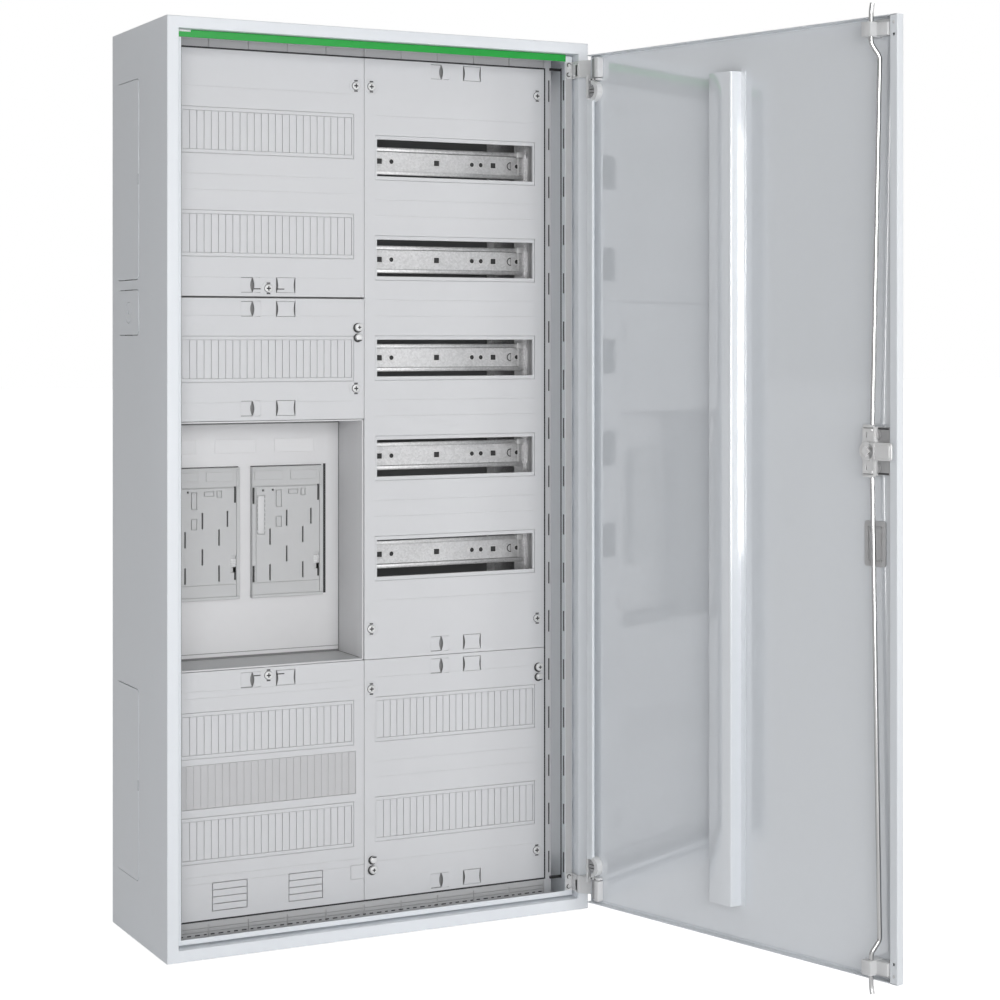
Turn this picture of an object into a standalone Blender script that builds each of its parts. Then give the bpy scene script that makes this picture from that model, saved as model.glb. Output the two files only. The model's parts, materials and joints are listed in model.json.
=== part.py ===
"""Wall-mounted meter and distribution cabinet, two fields wide, with its door standing open.

Metres, +Z up. X runs across the cabinet to the right of someone facing it, the front faces -Y and
the wall is at +Y. The origin is the centre of the housing's footprint, on its underside.
Depths are given as "d", the distance behind the plane of the front frame. The door's pieces are
drawn where they sit with the door closed, and are then turned about the hinge axis.
"""

import math

import bmesh
import bpy
from mathutils import Matrix, Vector

# Housing
WIDTH = 0.550
HEIGHT = 1.100
DEPTH = 0.225
SHEET = 0.0015
FRAME_BAND = 0.0140
GUTTER_FLOOR = 0.0230
GUTTER_WIDTH = 0.0025
LIP_DEPTH = 0.0123
LIP_LEFT = 0.0205
LIP_RIGHT = 0.0267
LIP_TOP = 0.0231
LIP_BOTTOM = 0.0227
REAR_FLANGE = 0.0150
BACK_SHEET = 0.0012
FRONT = -DEPTH / 2.0
HALF = WIDTH / 2.0

# Side wall openings as (d, z) of their lower front and upper rear corners
SIDE_OPENINGS = (((0.1115, 0.7960), (0.2020, 1.0370)),
                 ((0.1115, 0.7290), (0.1960, 0.7835)),
                 ((0.1115, 0.0730), (0.2020, 0.3030)))

# Field grid
FIELD = 0.250
ROW_PITCH = 0.125
COVER_D = 0.0755
COVER_WALL = 0.0025
COVER_SKIRT = 0.0120
COVER_BOTTOM = 0.025
COVER_TOP = 1.075
WINDOW_WIDTH = 0.216
WINDOW_HEIGHT = 0.046
ROW_TOP = 0.9505
RAIL_D = 0.1200
RAIL_TOP_HAT = 0.0075
RAIL_SQUARES = (0.0411, 0.1205, 0.2009)
RAIL_ROUNDS = (0.0578, 0.1705, 0.1832, 0.2350)
RAIL_SHEET = 0.0010
RAIL_WIDTH = 0.035
GAP = 0.0003

# Meter recess
TRAY_BOTTOM = 0.325
TRAY_TOP = 0.625
TRAY_BACK = 0.1570
BOARD_FRONT = 0.1470
BOARD_WIDTH = 0.0935
BOARD_HEIGHT = 0.1630
BOARD_Z = 0.4830
# meter fixing slots: distance right of the board's centre, heights above it
BOARD_SLOTS = ((-0.0236, (-0.0058, -0.0505)), (-0.0018, (0.0169, -0.0279)),
               (0.0196, (-0.0044, -0.0488)), (0.0305, (0.0183,)))

# Door
DOOR_WIDTH = 0.507
DOOR_BOTTOM = 0.0215
DOOR_TOP = 1.0785
DOOR_RIM = 0.0105
DOOR_LIP = 0.0110
DOOR_ANGLE = math.radians(104.2)
HINGE_X = 0.2732
HINGE_D = -0.0214
HINGE_SPANS = ((0.0235, 0.0750), (1.0250, 1.0765))
DOOR_LEFT = -DOOR_WIDTH / 2.0

# Lock
LOCK_S = 0.0385
LOCK_Z = 0.6015
ROD_RADIUS = 0.0030
ROD_TIP_S = 0.0318
ROD_TIP_P = 0.0175
ROD_OVERRUN = 0.0135
ROD_START = 0.0250
STRIKE_HALF = 0.0062

FACETS = 20


# ---------------------------------------------------------------- scene and materials

for old in list(bpy.data.objects):
    bpy.data.objects.remove(old, do_unlink=True)


def material(name, colour, roughness, metallic=0.0):
    mat = bpy.data.materials.new(name)
    mat.use_nodes = True
    shader = mat.node_tree.nodes["Principled BSDF"]
    shader.inputs["Base Color"].default_value = (*colour, 1.0)
    shader.inputs["Roughness"].default_value = roughness
    shader.inputs["Metallic"].default_value = metallic
    return mat


WHITE_PAINT = (0.78, 0.80, 0.82)
COVER_GREY = (0.62, 0.62, 0.63)
FRAME_GREY = (0.50, 0.50, 0.51)
TRAY_GREY = (0.60, 0.60, 0.61)
GREEN = (0.0, 0.38, 0.045)
ZINC = (0.62, 0.62, 0.60)
HINGE_WHITE = (0.74, 0.74, 0.75)
BLACK_PLASTIC = (0.03, 0.03, 0.032)


# ---------------------------------------------------------------- mesh helpers

def depth(d):
    """World Y of a point at distance d behind the front frame."""
    return FRONT + d


def add_box(bm, xs, ds, zs):
    """A box from its limits in X, in depth behind the front frame, and in Z."""
    size = (xs[1] - xs[0], ds[1] - ds[0], zs[1] - zs[0])
    centre = ((xs[0] + xs[1]) / 2.0, depth((ds[0] + ds[1]) / 2.0), (zs[0] + zs[1]) / 2.0)
    place = Matrix.Translation(centre) @ Matrix.Diagonal((*size, 1.0))
    bmesh.ops.create_cube(bm, size=1.0, matrix=place)


def add_prism(bm, outline, along):
    """Extrude a closed outline of 3-D points by the vector given."""
    verts = [bm.verts.new(p) for p in outline]
    face = bm.faces.new(verts)
    made = bmesh.ops.extrude_face_region(bm, geom=[face])
    moved = [g for g in made["geom"] if isinstance(g, bmesh.types.BMVert)]
    bmesh.ops.translate(bm, verts=moved, vec=along)


def add_rounded(bm, xs, zs, ds, radius, steps=4):
    """A plate with rounded corners in the XZ plane, from depth ds[0] to ds[1]."""
    corners = ((xs[1], zs[1], 0), (xs[0], zs[1], 90), (xs[0], zs[0], 180), (xs[1], zs[0], 270))
    outline = []
    for x, z, start in corners:
        cx = x - math.copysign(radius, x - (xs[0] + xs[1]) / 2.0)
        cz = z - math.copysign(radius, z - (zs[0] + zs[1]) / 2.0)
        for k in range(steps + 1):
            a = math.radians(start + 90.0 * k / steps)
            outline.append((cx + radius * math.cos(a), depth(ds[0]), cz + radius * math.sin(a)))
    add_prism(bm, outline, Vector((0.0, ds[1] - ds[0], 0.0)))


def add_cylinder(bm, centre, radius, length, axis="Y", facets=FACETS):
    """A cylinder centred on a world point, its length along the axis named."""
    turn = {"Y": Matrix.Rotation(math.pi / 2.0, 4, "X"), "Z": Matrix.Identity(4),
            "X": Matrix.Rotation(math.pi / 2.0, 4, "Y")}[axis]
    bmesh.ops.create_cone(bm, cap_ends=True, segments=facets, radius1=radius, radius2=radius,
                          depth=length, matrix=Matrix.Translation(centre) @ turn)


def mesh_object(name, bm, mat=None):
    bmesh.ops.recalc_face_normals(bm, faces=bm.faces)
    mesh = bpy.data.meshes.new(name)
    bm.to_mesh(mesh)
    bm.free()
    obj = bpy.data.objects.new(name, mesh)
    bpy.context.scene.collection.objects.link(obj)
    if mat:
        mesh.materials.append(mat)
    return obj


def paint(name, colour, roughness, metallic=0.0):
    return material(name + "_finish", colour, roughness, metallic)


def boolean(obj, bm, operation="DIFFERENCE"):
    """Join or cut obj with the shapes held in bm; the tool object stays as a hidden wire."""
    tool = mesh_object(obj.name + "_tool", bm)
    tool.hide_render = True
    tool.display_type = "WIRE"
    mod = obj.modifiers.new(operation.title(), "BOOLEAN")
    mod.operation = operation
    mod.solver = "EXACT"
    mod.object = tool
    if obj.parent:
        tool.parent = obj.parent
    return tool


def smooth(obj):
    obj.data.shade_smooth()
    obj.data.set_sharp_from_angle(angle=math.radians(35.0))


def simple(name, mat, *boxes):
    """A solid made of plain boxes, each given as (xs, ds, zs)."""
    bm = bmesh.new()
    for b in boxes:
        add_box(bm, *b)
    return mesh_object(name, bm, mat)


def sweep_frame(name, profile, outer, mat):
    """Sweep a closed section round a rectangular frame, mitred at its four corners.

    profile lists (inset left, inset right, inset bottom, inset top, d), the insets measured
    from the rectangle outer = (x0, x1, z0, z1)."""
    x0, x1, z0, z1 = outer
    bm = bmesh.new()
    loops = []
    for cx, cz in ((0, 0), (1, 0), (1, 1), (0, 1)):
        loop = []
        for left, right, bottom, top, d in profile:
            x = x1 - right if cx else x0 + left
            z = z1 - top if cz else z0 + bottom
            loop.append(bm.verts.new((x, depth(d), z)))
        loops.append(loop)
    count = len(profile)
    for k in range(4):
        here, there = loops[k], loops[(k + 1) % 4]
        for i in range(count):
            j = (i + 1) % count
            bm.faces.new((here[i], here[j], there[j], there[i]))
    return mesh_object(name, bm, mat)


# ---------------------------------------------------------------- housing

def uniform(inset, d):
    """A section point with the same inset on all four sides."""
    return (inset, inset, inset, inset, d)


def housing_shell():
    t = SHEET
    rear = DEPTH - BACK_SHEET - GAP
    inner = FRAME_BAND + GUTTER_WIDTH
    section = [uniform(REAR_FLANGE, rear), uniform(0.0, rear), uniform(0.0, 0.0),
               uniform(FRAME_BAND, 0.0), uniform(FRAME_BAND, GUTTER_FLOOR),
               uniform(inner, GUTTER_FLOOR), uniform(inner, LIP_DEPTH),
               (LIP_LEFT, LIP_RIGHT, LIP_BOTTOM, LIP_TOP, LIP_DEPTH),
               (LIP_LEFT, LIP_RIGHT, LIP_BOTTOM, LIP_TOP, LIP_DEPTH + t),
               uniform(inner + t, LIP_DEPTH + t), uniform(inner + t, GUTTER_FLOOR + t),
               uniform(FRAME_BAND - t, GUTTER_FLOOR + t), uniform(FRAME_BAND - t, t),
               uniform(t, t), uniform(t, rear - t), uniform(REAR_FLANGE, rear - t)]
    shell = sweep_frame("housing_shell", section, (-HALF, HALF, 0.0, HEIGHT),
                        paint("housing_shell", WHITE_PAINT, 0.38))
    cuts = bmesh.new()
    for lo, hi in SIDE_OPENINGS:
        add_side_plate(cuts, (-HALF - 0.005, -HALF + 0.005), lo, hi, 0.0)
    for z0, z1 in ((-0.005, 0.005), (HEIGHT - 0.005, HEIGHT + 0.005)):
        add_box(cuts, (-0.20, 0.20), (0.075, 0.185), (z0, z1))
    # slots that the door's rods enter when it is locked
    x = DOOR_LEFT + ROD_TIP_S
    for z0, z1 in ((0.0050, LIP_BOTTOM + 0.0008), (HEIGHT - LIP_TOP - 0.0004, HEIGHT - 0.0050)):
        add_box(cuts, (x - STRIKE_HALF, x + STRIKE_HALF), (LIP_DEPTH + SHEET + 0.0002, 0.0250), (z0, z1))
    boolean(shell, cuts)
    return shell


def add_side_plate(bm, xs, lo, hi, clear):
    """A rounded plate lying in a side wall, kept clear of the opening's edge."""
    radius = 0.007
    d0, z0, d1, z1 = lo[0] + clear, lo[1] + clear, hi[0] - clear, hi[1] - clear
    outline = []
    for d, z, start in ((d1, z1, 0), (d0, z1, 90), (d0, z0, 180), (d1, z0, 270)):
        cd = d - math.copysign(radius, d - (d0 + d1) / 2.0)
        cz = z - math.copysign(radius, z - (z0 + z1) / 2.0)
        for k in range(5):
            a = math.radians(start + 22.5 * k)
            outline.append((xs[0], depth(cd + radius * math.cos(a)), cz + radius * math.sin(a)))
    add_prism(bm, outline, Vector((xs[1] - xs[0], 0.0, 0.0)))


def side_plates():
    names = ("side_plate_upper", "side_plate_middle", "side_plate_lower")
    for name, (lo, hi) in zip(names, SIDE_OPENINGS):
        bm = bmesh.new()
        add_side_plate(bm, (-HALF, -HALF + SHEET), lo, hi, GAP)
        plate = mesh_object(name, bm, paint(name, WHITE_PAINT, 0.42))
        cuts = bmesh.new()
        middle = (lo[1] + hi[1]) / 2.0
        if name == "side_plate_middle":
            add_cylinder(cuts, (-HALF, depth(0.1530), middle), 0.0035, 0.01, "X")
        else:
            add_box(cuts, (-HALF - 0.01, -HALF + 0.01), (0.1150, 0.1175),
                    (middle - 0.0055, middle + 0.0055))
        boolean(plate, cuts)


def back_panel():
    inset = 0.0003
    xs = (-HALF + inset, HALF - inset)
    panel = simple("back_panel", paint("back_panel", WHITE_PAINT, 0.45),
                   (xs, (DEPTH - BACK_SHEET, DEPTH), (inset, HEIGHT - inset)))
    cuts = bmesh.new()
    for x in (-0.215, 0.215):
        for z in (0.060, 1.040):
            add_cylinder(cuts, (x, depth(DEPTH), z), 0.0050, 0.010, "Y", 16)
    boolean(panel, cuts)


def entry_plates():
    for name, z0 in (("entry_plate_bottom", 0.0), ("entry_plate_top", HEIGHT - SHEET)):
        plate = simple(name, paint(name, WHITE_PAINT, 0.45),
                       ((-0.20 + GAP, 0.20 - GAP), (0.075 + GAP, 0.185 - GAP), (z0, z0 + SHEET)))
        cuts = bmesh.new()
        for k in range(6):
            add_cylinder(cuts, (-0.150 + 0.060 * k, depth(0.130), z0), 0.0125, 0.010, "Z", 20)
        boolean(plate, cuts)


def trim_strip():
    edge = HALF - LIP_RIGHT
    top = HEIGHT - FRAME_BAND - GAP
    simple("trim_strip", paint("trim_strip", GREEN, 0.35),
           ((-HALF + FRAME_BAND + 0.003, edge), (0.0110, LIP_DEPTH - GAP),
            (HEIGHT - LIP_TOP, top)))


# ---------------------------------------------------------------- inner framework

def field_frame():
    """The angle-section frame that surrounds the covers and carries them."""
    side, end, web, inner, t = 0.0145, 0.0060, 0.0247, 0.0370, 0.0015
    front, seat = 0.0765, 0.0985
    section = [(side, side, end, end, front), uniform(web, front), uniform(web, seat),
               uniform(inner, seat), uniform(inner, seat + t), uniform(web - t, seat + t),
               uniform(web - t, front + t), (side, side, end, end, front + t)]
    frame = sweep_frame("field_frame", section, (-HALF, HALF, 0.0, HEIGHT),
                        paint("field_frame", FRAME_GREY, 0.55))
    cuts = bmesh.new()
    for x0 in (-0.2560, 0.2535):
        for k in range(16):
            z = 0.0813 + 0.0625 * k
            add_box(cuts, (x0, x0 + 0.0025), (0.070, 0.085), (z - 0.0140, z + 0.0140))
    boolean(frame, cuts)


def bars():
    """The bars behind the covers that take the fasteners between the fields."""
    grey = paint("centre_bar", FRAME_GREY, 0.55)
    lo, hi = COVER_BOTTOM + 0.0125, COVER_TOP - 0.0125
    bm = bmesh.new()
    y = depth(0.0985)
    outline = [(0.0120, y, lo), (0.0120, y, hi), (-0.0120, y, hi), (-0.0120, y, 0.628),
               (0.0003, y, 0.628), (0.0003, y, 0.322), (-0.0120, y, 0.322), (-0.0120, y, lo)]
    add_prism(bm, outline, Vector((0.0, 0.0015, 0.0)))
    mesh_object("centre_bar", bm, grey)
    for name, z0, z1 in (("cross_bar_upper", 0.7650, 0.7980), ("cross_bar_lower", 0.3000, 0.3200)):
        simple(name, paint(name, FRAME_GREY, 0.55), ((-0.2377, -0.0123), (0.0985, 0.1000), (z0, z1)))


def upright(name, x_web, side, flange_d, reach):
    """A bent-sheet upright: a web standing on the back panel and a flange turned inwards."""
    t = 0.0015
    lo, hi = 0.0260, 1.0740
    near, far = x_web, x_web + side * t
    tip = x_web + side * reach
    rear = DEPTH - BACK_SHEET - GAP
    foot = far + side * 0.0110
    points = [(near, 0.1003), (far, 0.1003), (far, flange_d), (tip, flange_d),
              (tip, flange_d + t), (far, flange_d + t), (far, rear - t), (foot, rear - t),
              (foot, rear), (near, rear)]
    bm = bmesh.new()
    add_prism(bm, [(x, depth(d), lo) for x, d in points], Vector((0.0, 0.0, hi - lo)))
    return mesh_object(name, bm, paint(name, ZINC, 0.4, 0.8))


def uprights():
    upright("upright_left", -0.2497, 1, 0.1575, 0.0160)
    upright("upright_centre", 0.0006, 1, 0.1278, 0.0170)
    upright("upright_right", 0.2497, -1, 0.1278, 0.0170)


def din_rail(index):
    """A 35 mm top-hat rail with its punched holes."""
    z = ROW_TOP - ROW_PITCH * index
    t = RAIL_SHEET
    half = RAIL_WIDTH / 2.0
    body = half - 0.0050
    back = RAIL_D + RAIL_TOP_HAT
    section = [(-half, RAIL_D), (-half, RAIL_D + t), (-body - t, RAIL_D + t), (-body - t, back),
               (body + t, back), (body + t, RAIL_D + t), (half, RAIL_D + t), (half, RAIL_D),
               (body, RAIL_D), (body, back - t), (-body, back - t), (-body, RAIL_D)]
    bm = bmesh.new()
    x0, x1 = 0.0085, 0.2415
    add_prism(bm, [(x0, depth(d), z + h) for h, d in section], Vector((x1 - x0, 0.0, 0.0)))
    name = "din_rail_%d" % (index + 1)
    rail = mesh_object(name, bm, paint(name, ZINC, 0.35, 0.9))
    cuts = bmesh.new()
    y = depth(back)
    for x in RAIL_SQUARES:
        add_box(cuts, (x - 0.0033, x + 0.0033), (back - 0.005, back + 0.005), (z - 0.0030, z + 0.0030))
    for x in RAIL_ROUNDS:
        add_cylinder(cuts, (x, y, z), 0.0026, 0.01, "Y", 12)
    boolean(rail, cuts)


# ---------------------------------------------------------------- covers

def cover(name, xs, zs, windows=(), strips=(), grips=(), holes=(), pockets=(), openings=()):
    """A moulded hood: a plate with a turned-back skirt, windows, blank strips and finger grips."""
    d0 = COVER_D
    bm = bmesh.new()
    add_box(bm, xs, (d0, d0 + COVER_SKIRT), zs)
    obj = mesh_object(name, bm, paint(name, COVER_GREY, 0.5))
    hollow = bmesh.new()
    w = 0.0020
    add_box(hollow, (xs[0] + w, xs[1] - w), (d0 + COVER_WALL, d0 + COVER_SKIRT + 0.01),
            (zs[0] + w, zs[1] - w))
    boolean(obj, hollow)
    centre = (xs[0] + xs[1]) / 2.0
    if windows or strips:
        rims = bmesh.new()
        for z in tuple(windows) + tuple(strips):
            half_w, half_h = WINDOW_WIDTH / 2.0 + 0.0030, WINDOW_HEIGHT / 2.0 + 0.0045
            add_box(rims, (centre - half_w, centre + half_w), (d0 - 0.0008, d0 + 0.0010),
                    (z - half_h, z + half_h))
        boolean(obj, rims, "UNION")
        cuts = bmesh.new()
        half_w, half_h = WINDOW_WIDTH / 2.0, WINDOW_HEIGHT / 2.0
        for z in windows:
            add_box(cuts, (centre - half_w, centre + half_w), (d0 - 0.01, d0 + 0.02),
                    (z - half_h, z + half_h))
        for z in strips:
            add_box(cuts, (centre - half_w, centre + half_w), (d0 - 0.01, d0 + 0.0004),
                    (z - half_h, z + half_h))
        boolean(obj, cuts)
    cuts = bmesh.new()
    for x, z in grips:
        add_box(cuts, (x - 0.0125, x + 0.0125), (d0 - 0.005, d0 + 0.0013),
                (z - 0.0095, z + 0.0095))
    for x, z in holes:
        add_cylinder(cuts, (x, depth(d0), z), 0.0029, 0.02, "Y", 12)
    for px, pz in pockets:
        add_box(cuts, px, (d0 - 0.005, d0 + 0.0010), pz)
    for px, pz in openings:
        add_box(cuts, px, (d0 - 0.005, d0 + 0.02), pz)
    boolean(obj, cuts)
    return obj


def grip_pair(centre, z):
    return [(centre - 0.0222, z), (centre + 0.0222, z)]


LEFT = -FIELD / 2.0
RIGHT = FIELD / 2.0
SCREWS = {
    "cover_screw_01": (-0.1250, 0.7860), "cover_screw_02": (-0.0111, 1.0385),
    "cover_screw_03": (-0.0111, 0.6630), "cover_screw_04": (-0.1250, 0.3150),
    "cover_screw_05": (0.0095, 1.0385), "cover_screw_06": (0.2397, 1.0385),
    "cover_screw_07": (0.0095, 0.3632), "cover_screw_08": (0.2397, 0.3632),
    "cover_screw_09": (0.0095, 0.2884), "cover_screw_10": (0.2390, 0.0633),
}
SEALS = {
    "seal_fitting_1": (-0.0080, 0.7325), "seal_fitting_2": (0.2420, 0.2940),
    "seal_fitting_3": (0.0115, 0.0695),
}


def covers():
    s = SCREWS
    x0, x1 = -FIELD + GAP, -GAP
    cover("cover_left_top", (x0, x1), (0.775 + GAP, COVER_TOP), strips=(0.9755, 0.8515),
          grips=grip_pair(LEFT, 0.7900), holes=(s["cover_screw_01"], s["cover_screw_02"]))
    cover("cover_left_middle", (x0, x1), (0.625 + GAP, 0.775 - GAP), strips=(0.7000,),
          grips=grip_pair(LEFT, 0.7610) + grip_pair(LEFT, 0.6400), holes=(s["cover_screw_03"],))
    band = ((-0.2375, -0.0110), (0.1600, 0.2130))
    cover("cover_left_bottom", (x0, x1), (COVER_BOTTOM, 0.325 - GAP), strips=(0.2485, 0.1225),
          grips=grip_pair(LEFT, 0.3110), holes=(s["cover_screw_04"],),
          pockets=(((-0.1960, -0.1510), (0.0300, 0.0750)), ((-0.0990, -0.0540), (0.0300, 0.0750))),
          openings=(band,))
    (bx0, bx1), (bz0, bz1) = band
    simple("blanking_band", paint("blanking_band", FRAME_GREY, 0.5),
           ((bx0 + GAP, bx1 - GAP), (COVER_D + 0.0006, COVER_D + 0.0026), (bz0 + GAP, bz1 - GAP)))
    x0, x1 = GAP, FIELD - GAP
    rows = [ROW_TOP - ROW_PITCH * k for k in range(5)]
    cover("cover_right_upper", (x0, x1), (0.325 + GAP, COVER_TOP), windows=rows,
          grips=grip_pair(RIGHT, 1.0620) + grip_pair(RIGHT, 0.3390),
          holes=[s["cover_screw_%02d" % k] for k in (5, 6, 7, 8)])
    cover("cover_right_lower", (x0, x1), (COVER_BOTTOM, 0.325 - GAP), strips=(0.2500, 0.1255),
          grips=grip_pair(RIGHT, 0.3110) + grip_pair(RIGHT, 0.0395),
          holes=(s["cover_screw_09"], s["cover_screw_10"]))


def cover_screws():
    for name, (x, z) in SCREWS.items():
        d = COVER_D
        bm = bmesh.new()
        head, shank = 0.0050, 0.0024
        steps = ((0.0, -0.0022), (head - 0.0008, -0.0022), (head, -0.0014), (head, -GAP),
                 (shank, -GAP), (shank, 0.0205), (0.0, 0.0205))
        ring = [bm.verts.new((r, off, 0.0)) for r, off in steps]
        edges = [bm.edges.new((a, b)) for a, b in zip(ring, ring[1:])]
        bmesh.ops.spin(bm, geom=ring + edges, cent=(0, 0, 0), axis=(0, 1, 0),
                       angle=2.0 * math.pi, steps=16, use_merge=True)
        bmesh.ops.remove_doubles(bm, verts=bm.verts, dist=0.00001)
        screw = mesh_object(name, bm, paint(name, ZINC, 0.35, 0.9))
        screw.location = (x, depth(d), z)
        smooth(screw)
        cuts = bmesh.new()
        for size in ((0.0058, 0.0012), (0.0012, 0.0058)):
            place = Matrix.Translation((0.0, -0.0022, 0.0)) @ Matrix.Diagonal(
                (size[0], 0.0022, size[1], 1.0))
            bmesh.ops.create_cube(cuts, size=1.0, matrix=place)
        tool = boolean(screw, cuts)
        screw.modifiers[-1].use_self = True
        tool.location = screw.location


def seal_fittings():
    """Small posts with two eyes that take a sealing wire."""
    for name, (x, z) in SEALS.items():
        bm = bmesh.new()
        add_rounded(bm, (x - 0.0042, x + 0.0042), (z - 0.0110, z + 0.0110),
                    (COVER_D - 0.0050, COVER_D - GAP), 0.0040)
        post = mesh_object(name, bm, paint(name, ZINC, 0.4, 0.7))
        cuts = bmesh.new()
        for dz in (-0.0065, 0.0065):
            add_cylinder(cuts, (x, depth(COVER_D - 0.0050), z + dz), 0.0018, 0.004, "Y", 10)
        boolean(post, cuts)


# ---------------------------------------------------------------- meter recess

def meter_tray():
    w = 0.0018
    xs = (-0.2377, -0.0008)
    zs = (TRAY_BOTTOM + GAP, TRAY_TOP - GAP)
    front = COVER_D + 0.0002
    bm = bmesh.new()
    add_box(bm, xs, (front, TRAY_BACK), zs)
    tray = mesh_object("meter_tray", bm, paint("meter_tray", TRAY_GREY, 0.5))
    flange = bmesh.new()
    add_box(flange, (-FIELD + GAP, xs[0] + 0.001), (front, front + 0.0020), zs)
    boolean(tray, flange, "UNION")
    hollow = bmesh.new()
    add_box(hollow, (xs[0] + w, xs[1] - w), (front - 0.01, TRAY_BACK - 0.0020),
            (zs[0] + w, zs[1] - w))
    boolean(tray, hollow)


def meter_boards():
    for side, x in (("left", -0.1830), ("right", -0.0735)):
        half_w, half_h = BOARD_WIDTH / 2.0, BOARD_HEIGHT / 2.0
        back = TRAY_BACK - 0.0020 - GAP
        bm = bmesh.new()
        add_rounded(bm, (x - half_w, x + half_w), (BOARD_Z - half_h, BOARD_Z + half_h),
                    (BOARD_FRONT, back), 0.0030, 2)
        name = "meter_board_" + side
        board = mesh_object(name, bm, paint(name, TRAY_GREY, 0.45))
        cuts = bmesh.new()
        top = BOARD_Z + half_h
        add_box(cuts, (x - half_w + 0.003, x + half_w - 0.003),
                (BOARD_FRONT - 0.005, BOARD_FRONT + 0.0010), (top - 0.0190, top - 0.0030))
        for dx, rises in BOARD_SLOTS:
            for rise in rises:
                add_box(cuts, (x + dx - 0.0012, x + dx + 0.0012),
                        (BOARD_FRONT - 0.005, BOARD_FRONT + 0.0020),
                        (BOARD_Z + rise - 0.0100, BOARD_Z + rise + 0.0100))
        sx, sz = x + 0.0375, BOARD_Z - 0.0450
        add_box(cuts, (sx - 0.0040, sx + 0.0040), (BOARD_FRONT - 0.005, BOARD_FRONT + 0.0040),
                (sz - 0.0150, sz + 0.0150))
        boolean(board, cuts)
        bm = bmesh.new()
        add_box(bm, (-0.0036, 0.0036), (0.0, 0.0042), (-0.0050, 0.0050))
        add_name = "board_slider_" + side
        slider = mesh_object(add_name, bm, paint(add_name, TRAY_GREY, 0.4))
        slider.location = (sx, BOARD_FRONT - 0.0005, sz + 0.0085)


# ---------------------------------------------------------------- door

def on_door(s, p):
    """Closed-door X and depth of a point s from the free edge and p behind the outer face."""
    return DOOR_LEFT + s, p


HINGE_AXIS = Vector((HINGE_X, depth(HINGE_D), 0.0))
DOOR_TURN = Matrix.Rotation(DOOR_ANGLE, 4, "Z")


def hang(obj, pivot=None):
    """Turn a piece drawn in the closed position into the open one, its origin on pivot."""
    pivot = Vector(pivot) if pivot is not None else HINGE_AXIS.copy()
    place = HINGE_AXIS + DOOR_TURN.to_3x3() @ (pivot - HINGE_AXIS)
    pieces = [obj] + [m.object for m in obj.modifiers if m.type == "BOOLEAN"]
    for piece in pieces:
        piece.data.transform(Matrix.Translation(-pivot))
        piece.location = place
        piece.rotation_euler = (0.0, 0.0, DOOR_ANGLE)
    return obj


def s_box(bm, s, p, z):
    add_box(bm, (DOOR_LEFT + s[0], DOOR_LEFT + s[1]), p, z)


def door_panel():
    bm = bmesh.new()
    s_box(bm, (0.0, DOOR_WIDTH), (0.0, DOOR_RIM), (DOOR_BOTTOM, DOOR_TOP))
    door = mesh_object("door_panel", bm, paint("door_panel", WHITE_PAINT, 0.22))
    bevel = door.modifiers.new("Edge", "BEVEL")
    bevel.width = 0.0012
    bevel.segments = 2
    bevel.limit_method = "ANGLE"
    t = SHEET
    pan = bmesh.new()
    s_box(pan, (t, DOOR_WIDTH - t), (t, DOOR_RIM - t), (DOOR_BOTTOM + t, DOOR_TOP - t))
    boolean(door, pan)
    mouth = bmesh.new()
    s_box(mouth, (DOOR_LIP, DOOR_WIDTH - DOOR_LIP), (0.0060, DOOR_RIM + 0.01),
          (DOOR_BOTTOM + t, DOOR_TOP - t))
    boolean(door, mouth)
    cuts = bmesh.new()
    for z in (DOOR_TOP - 0.0090, DOOR_TOP - 0.0221, DOOR_BOTTOM + 0.0221, DOOR_BOTTOM + 0.0090):
        x = DOOR_LEFT + 0.0055
        add_cylinder(cuts, (x, depth(DOOR_RIM), z), 0.0018, 0.0080, "Y", 10)
    add_cylinder(cuts, (DOOR_LEFT + LOCK_S, depth(0.0), LOCK_Z), 0.0085, 0.010, "Y", 16)
    s_box(cuts, (0.0233, 0.0537), (-0.005, 0.005), (0.4740, 0.5240))
    for z0, z1 in HINGE_SPANS:
        s_box(cuts, (DOOR_WIDTH - DOOR_LIP - 0.001, DOOR_WIDTH + 0.002), (0.0030, 0.0200),
              (z0 - 0.0015, min(z1 + 0.0015, DOOR_TOP - 0.0018)))
    boolean(door, cuts)
    return hang(door)


def door_stiffener():
    s0, s1, top, foot, t = 0.2450, 0.2820, 0.0195, 0.0070, 0.0010
    base = SHEET + GAP
    points = [(s0 - foot, base), (s0 + t, base), (s0 + t, top - t), (s1 - t, top - t),
              (s1 - t, base), (s1 + foot, base), (s1 + foot, base + t), (s1, base + t),
              (s1, top), (s0, top), (s0, base + t), (s0 - foot, base + t)]
    bm = bmesh.new()
    outline = [(DOOR_LEFT + s, depth(p), 0.0635) for s, p in points]
    add_prism(bm, outline, Vector((0.0, 0.0, 0.973)))
    return hang(mesh_object("door_stiffener", bm, paint("door_stiffener", WHITE_PAINT, 0.25)))


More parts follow.
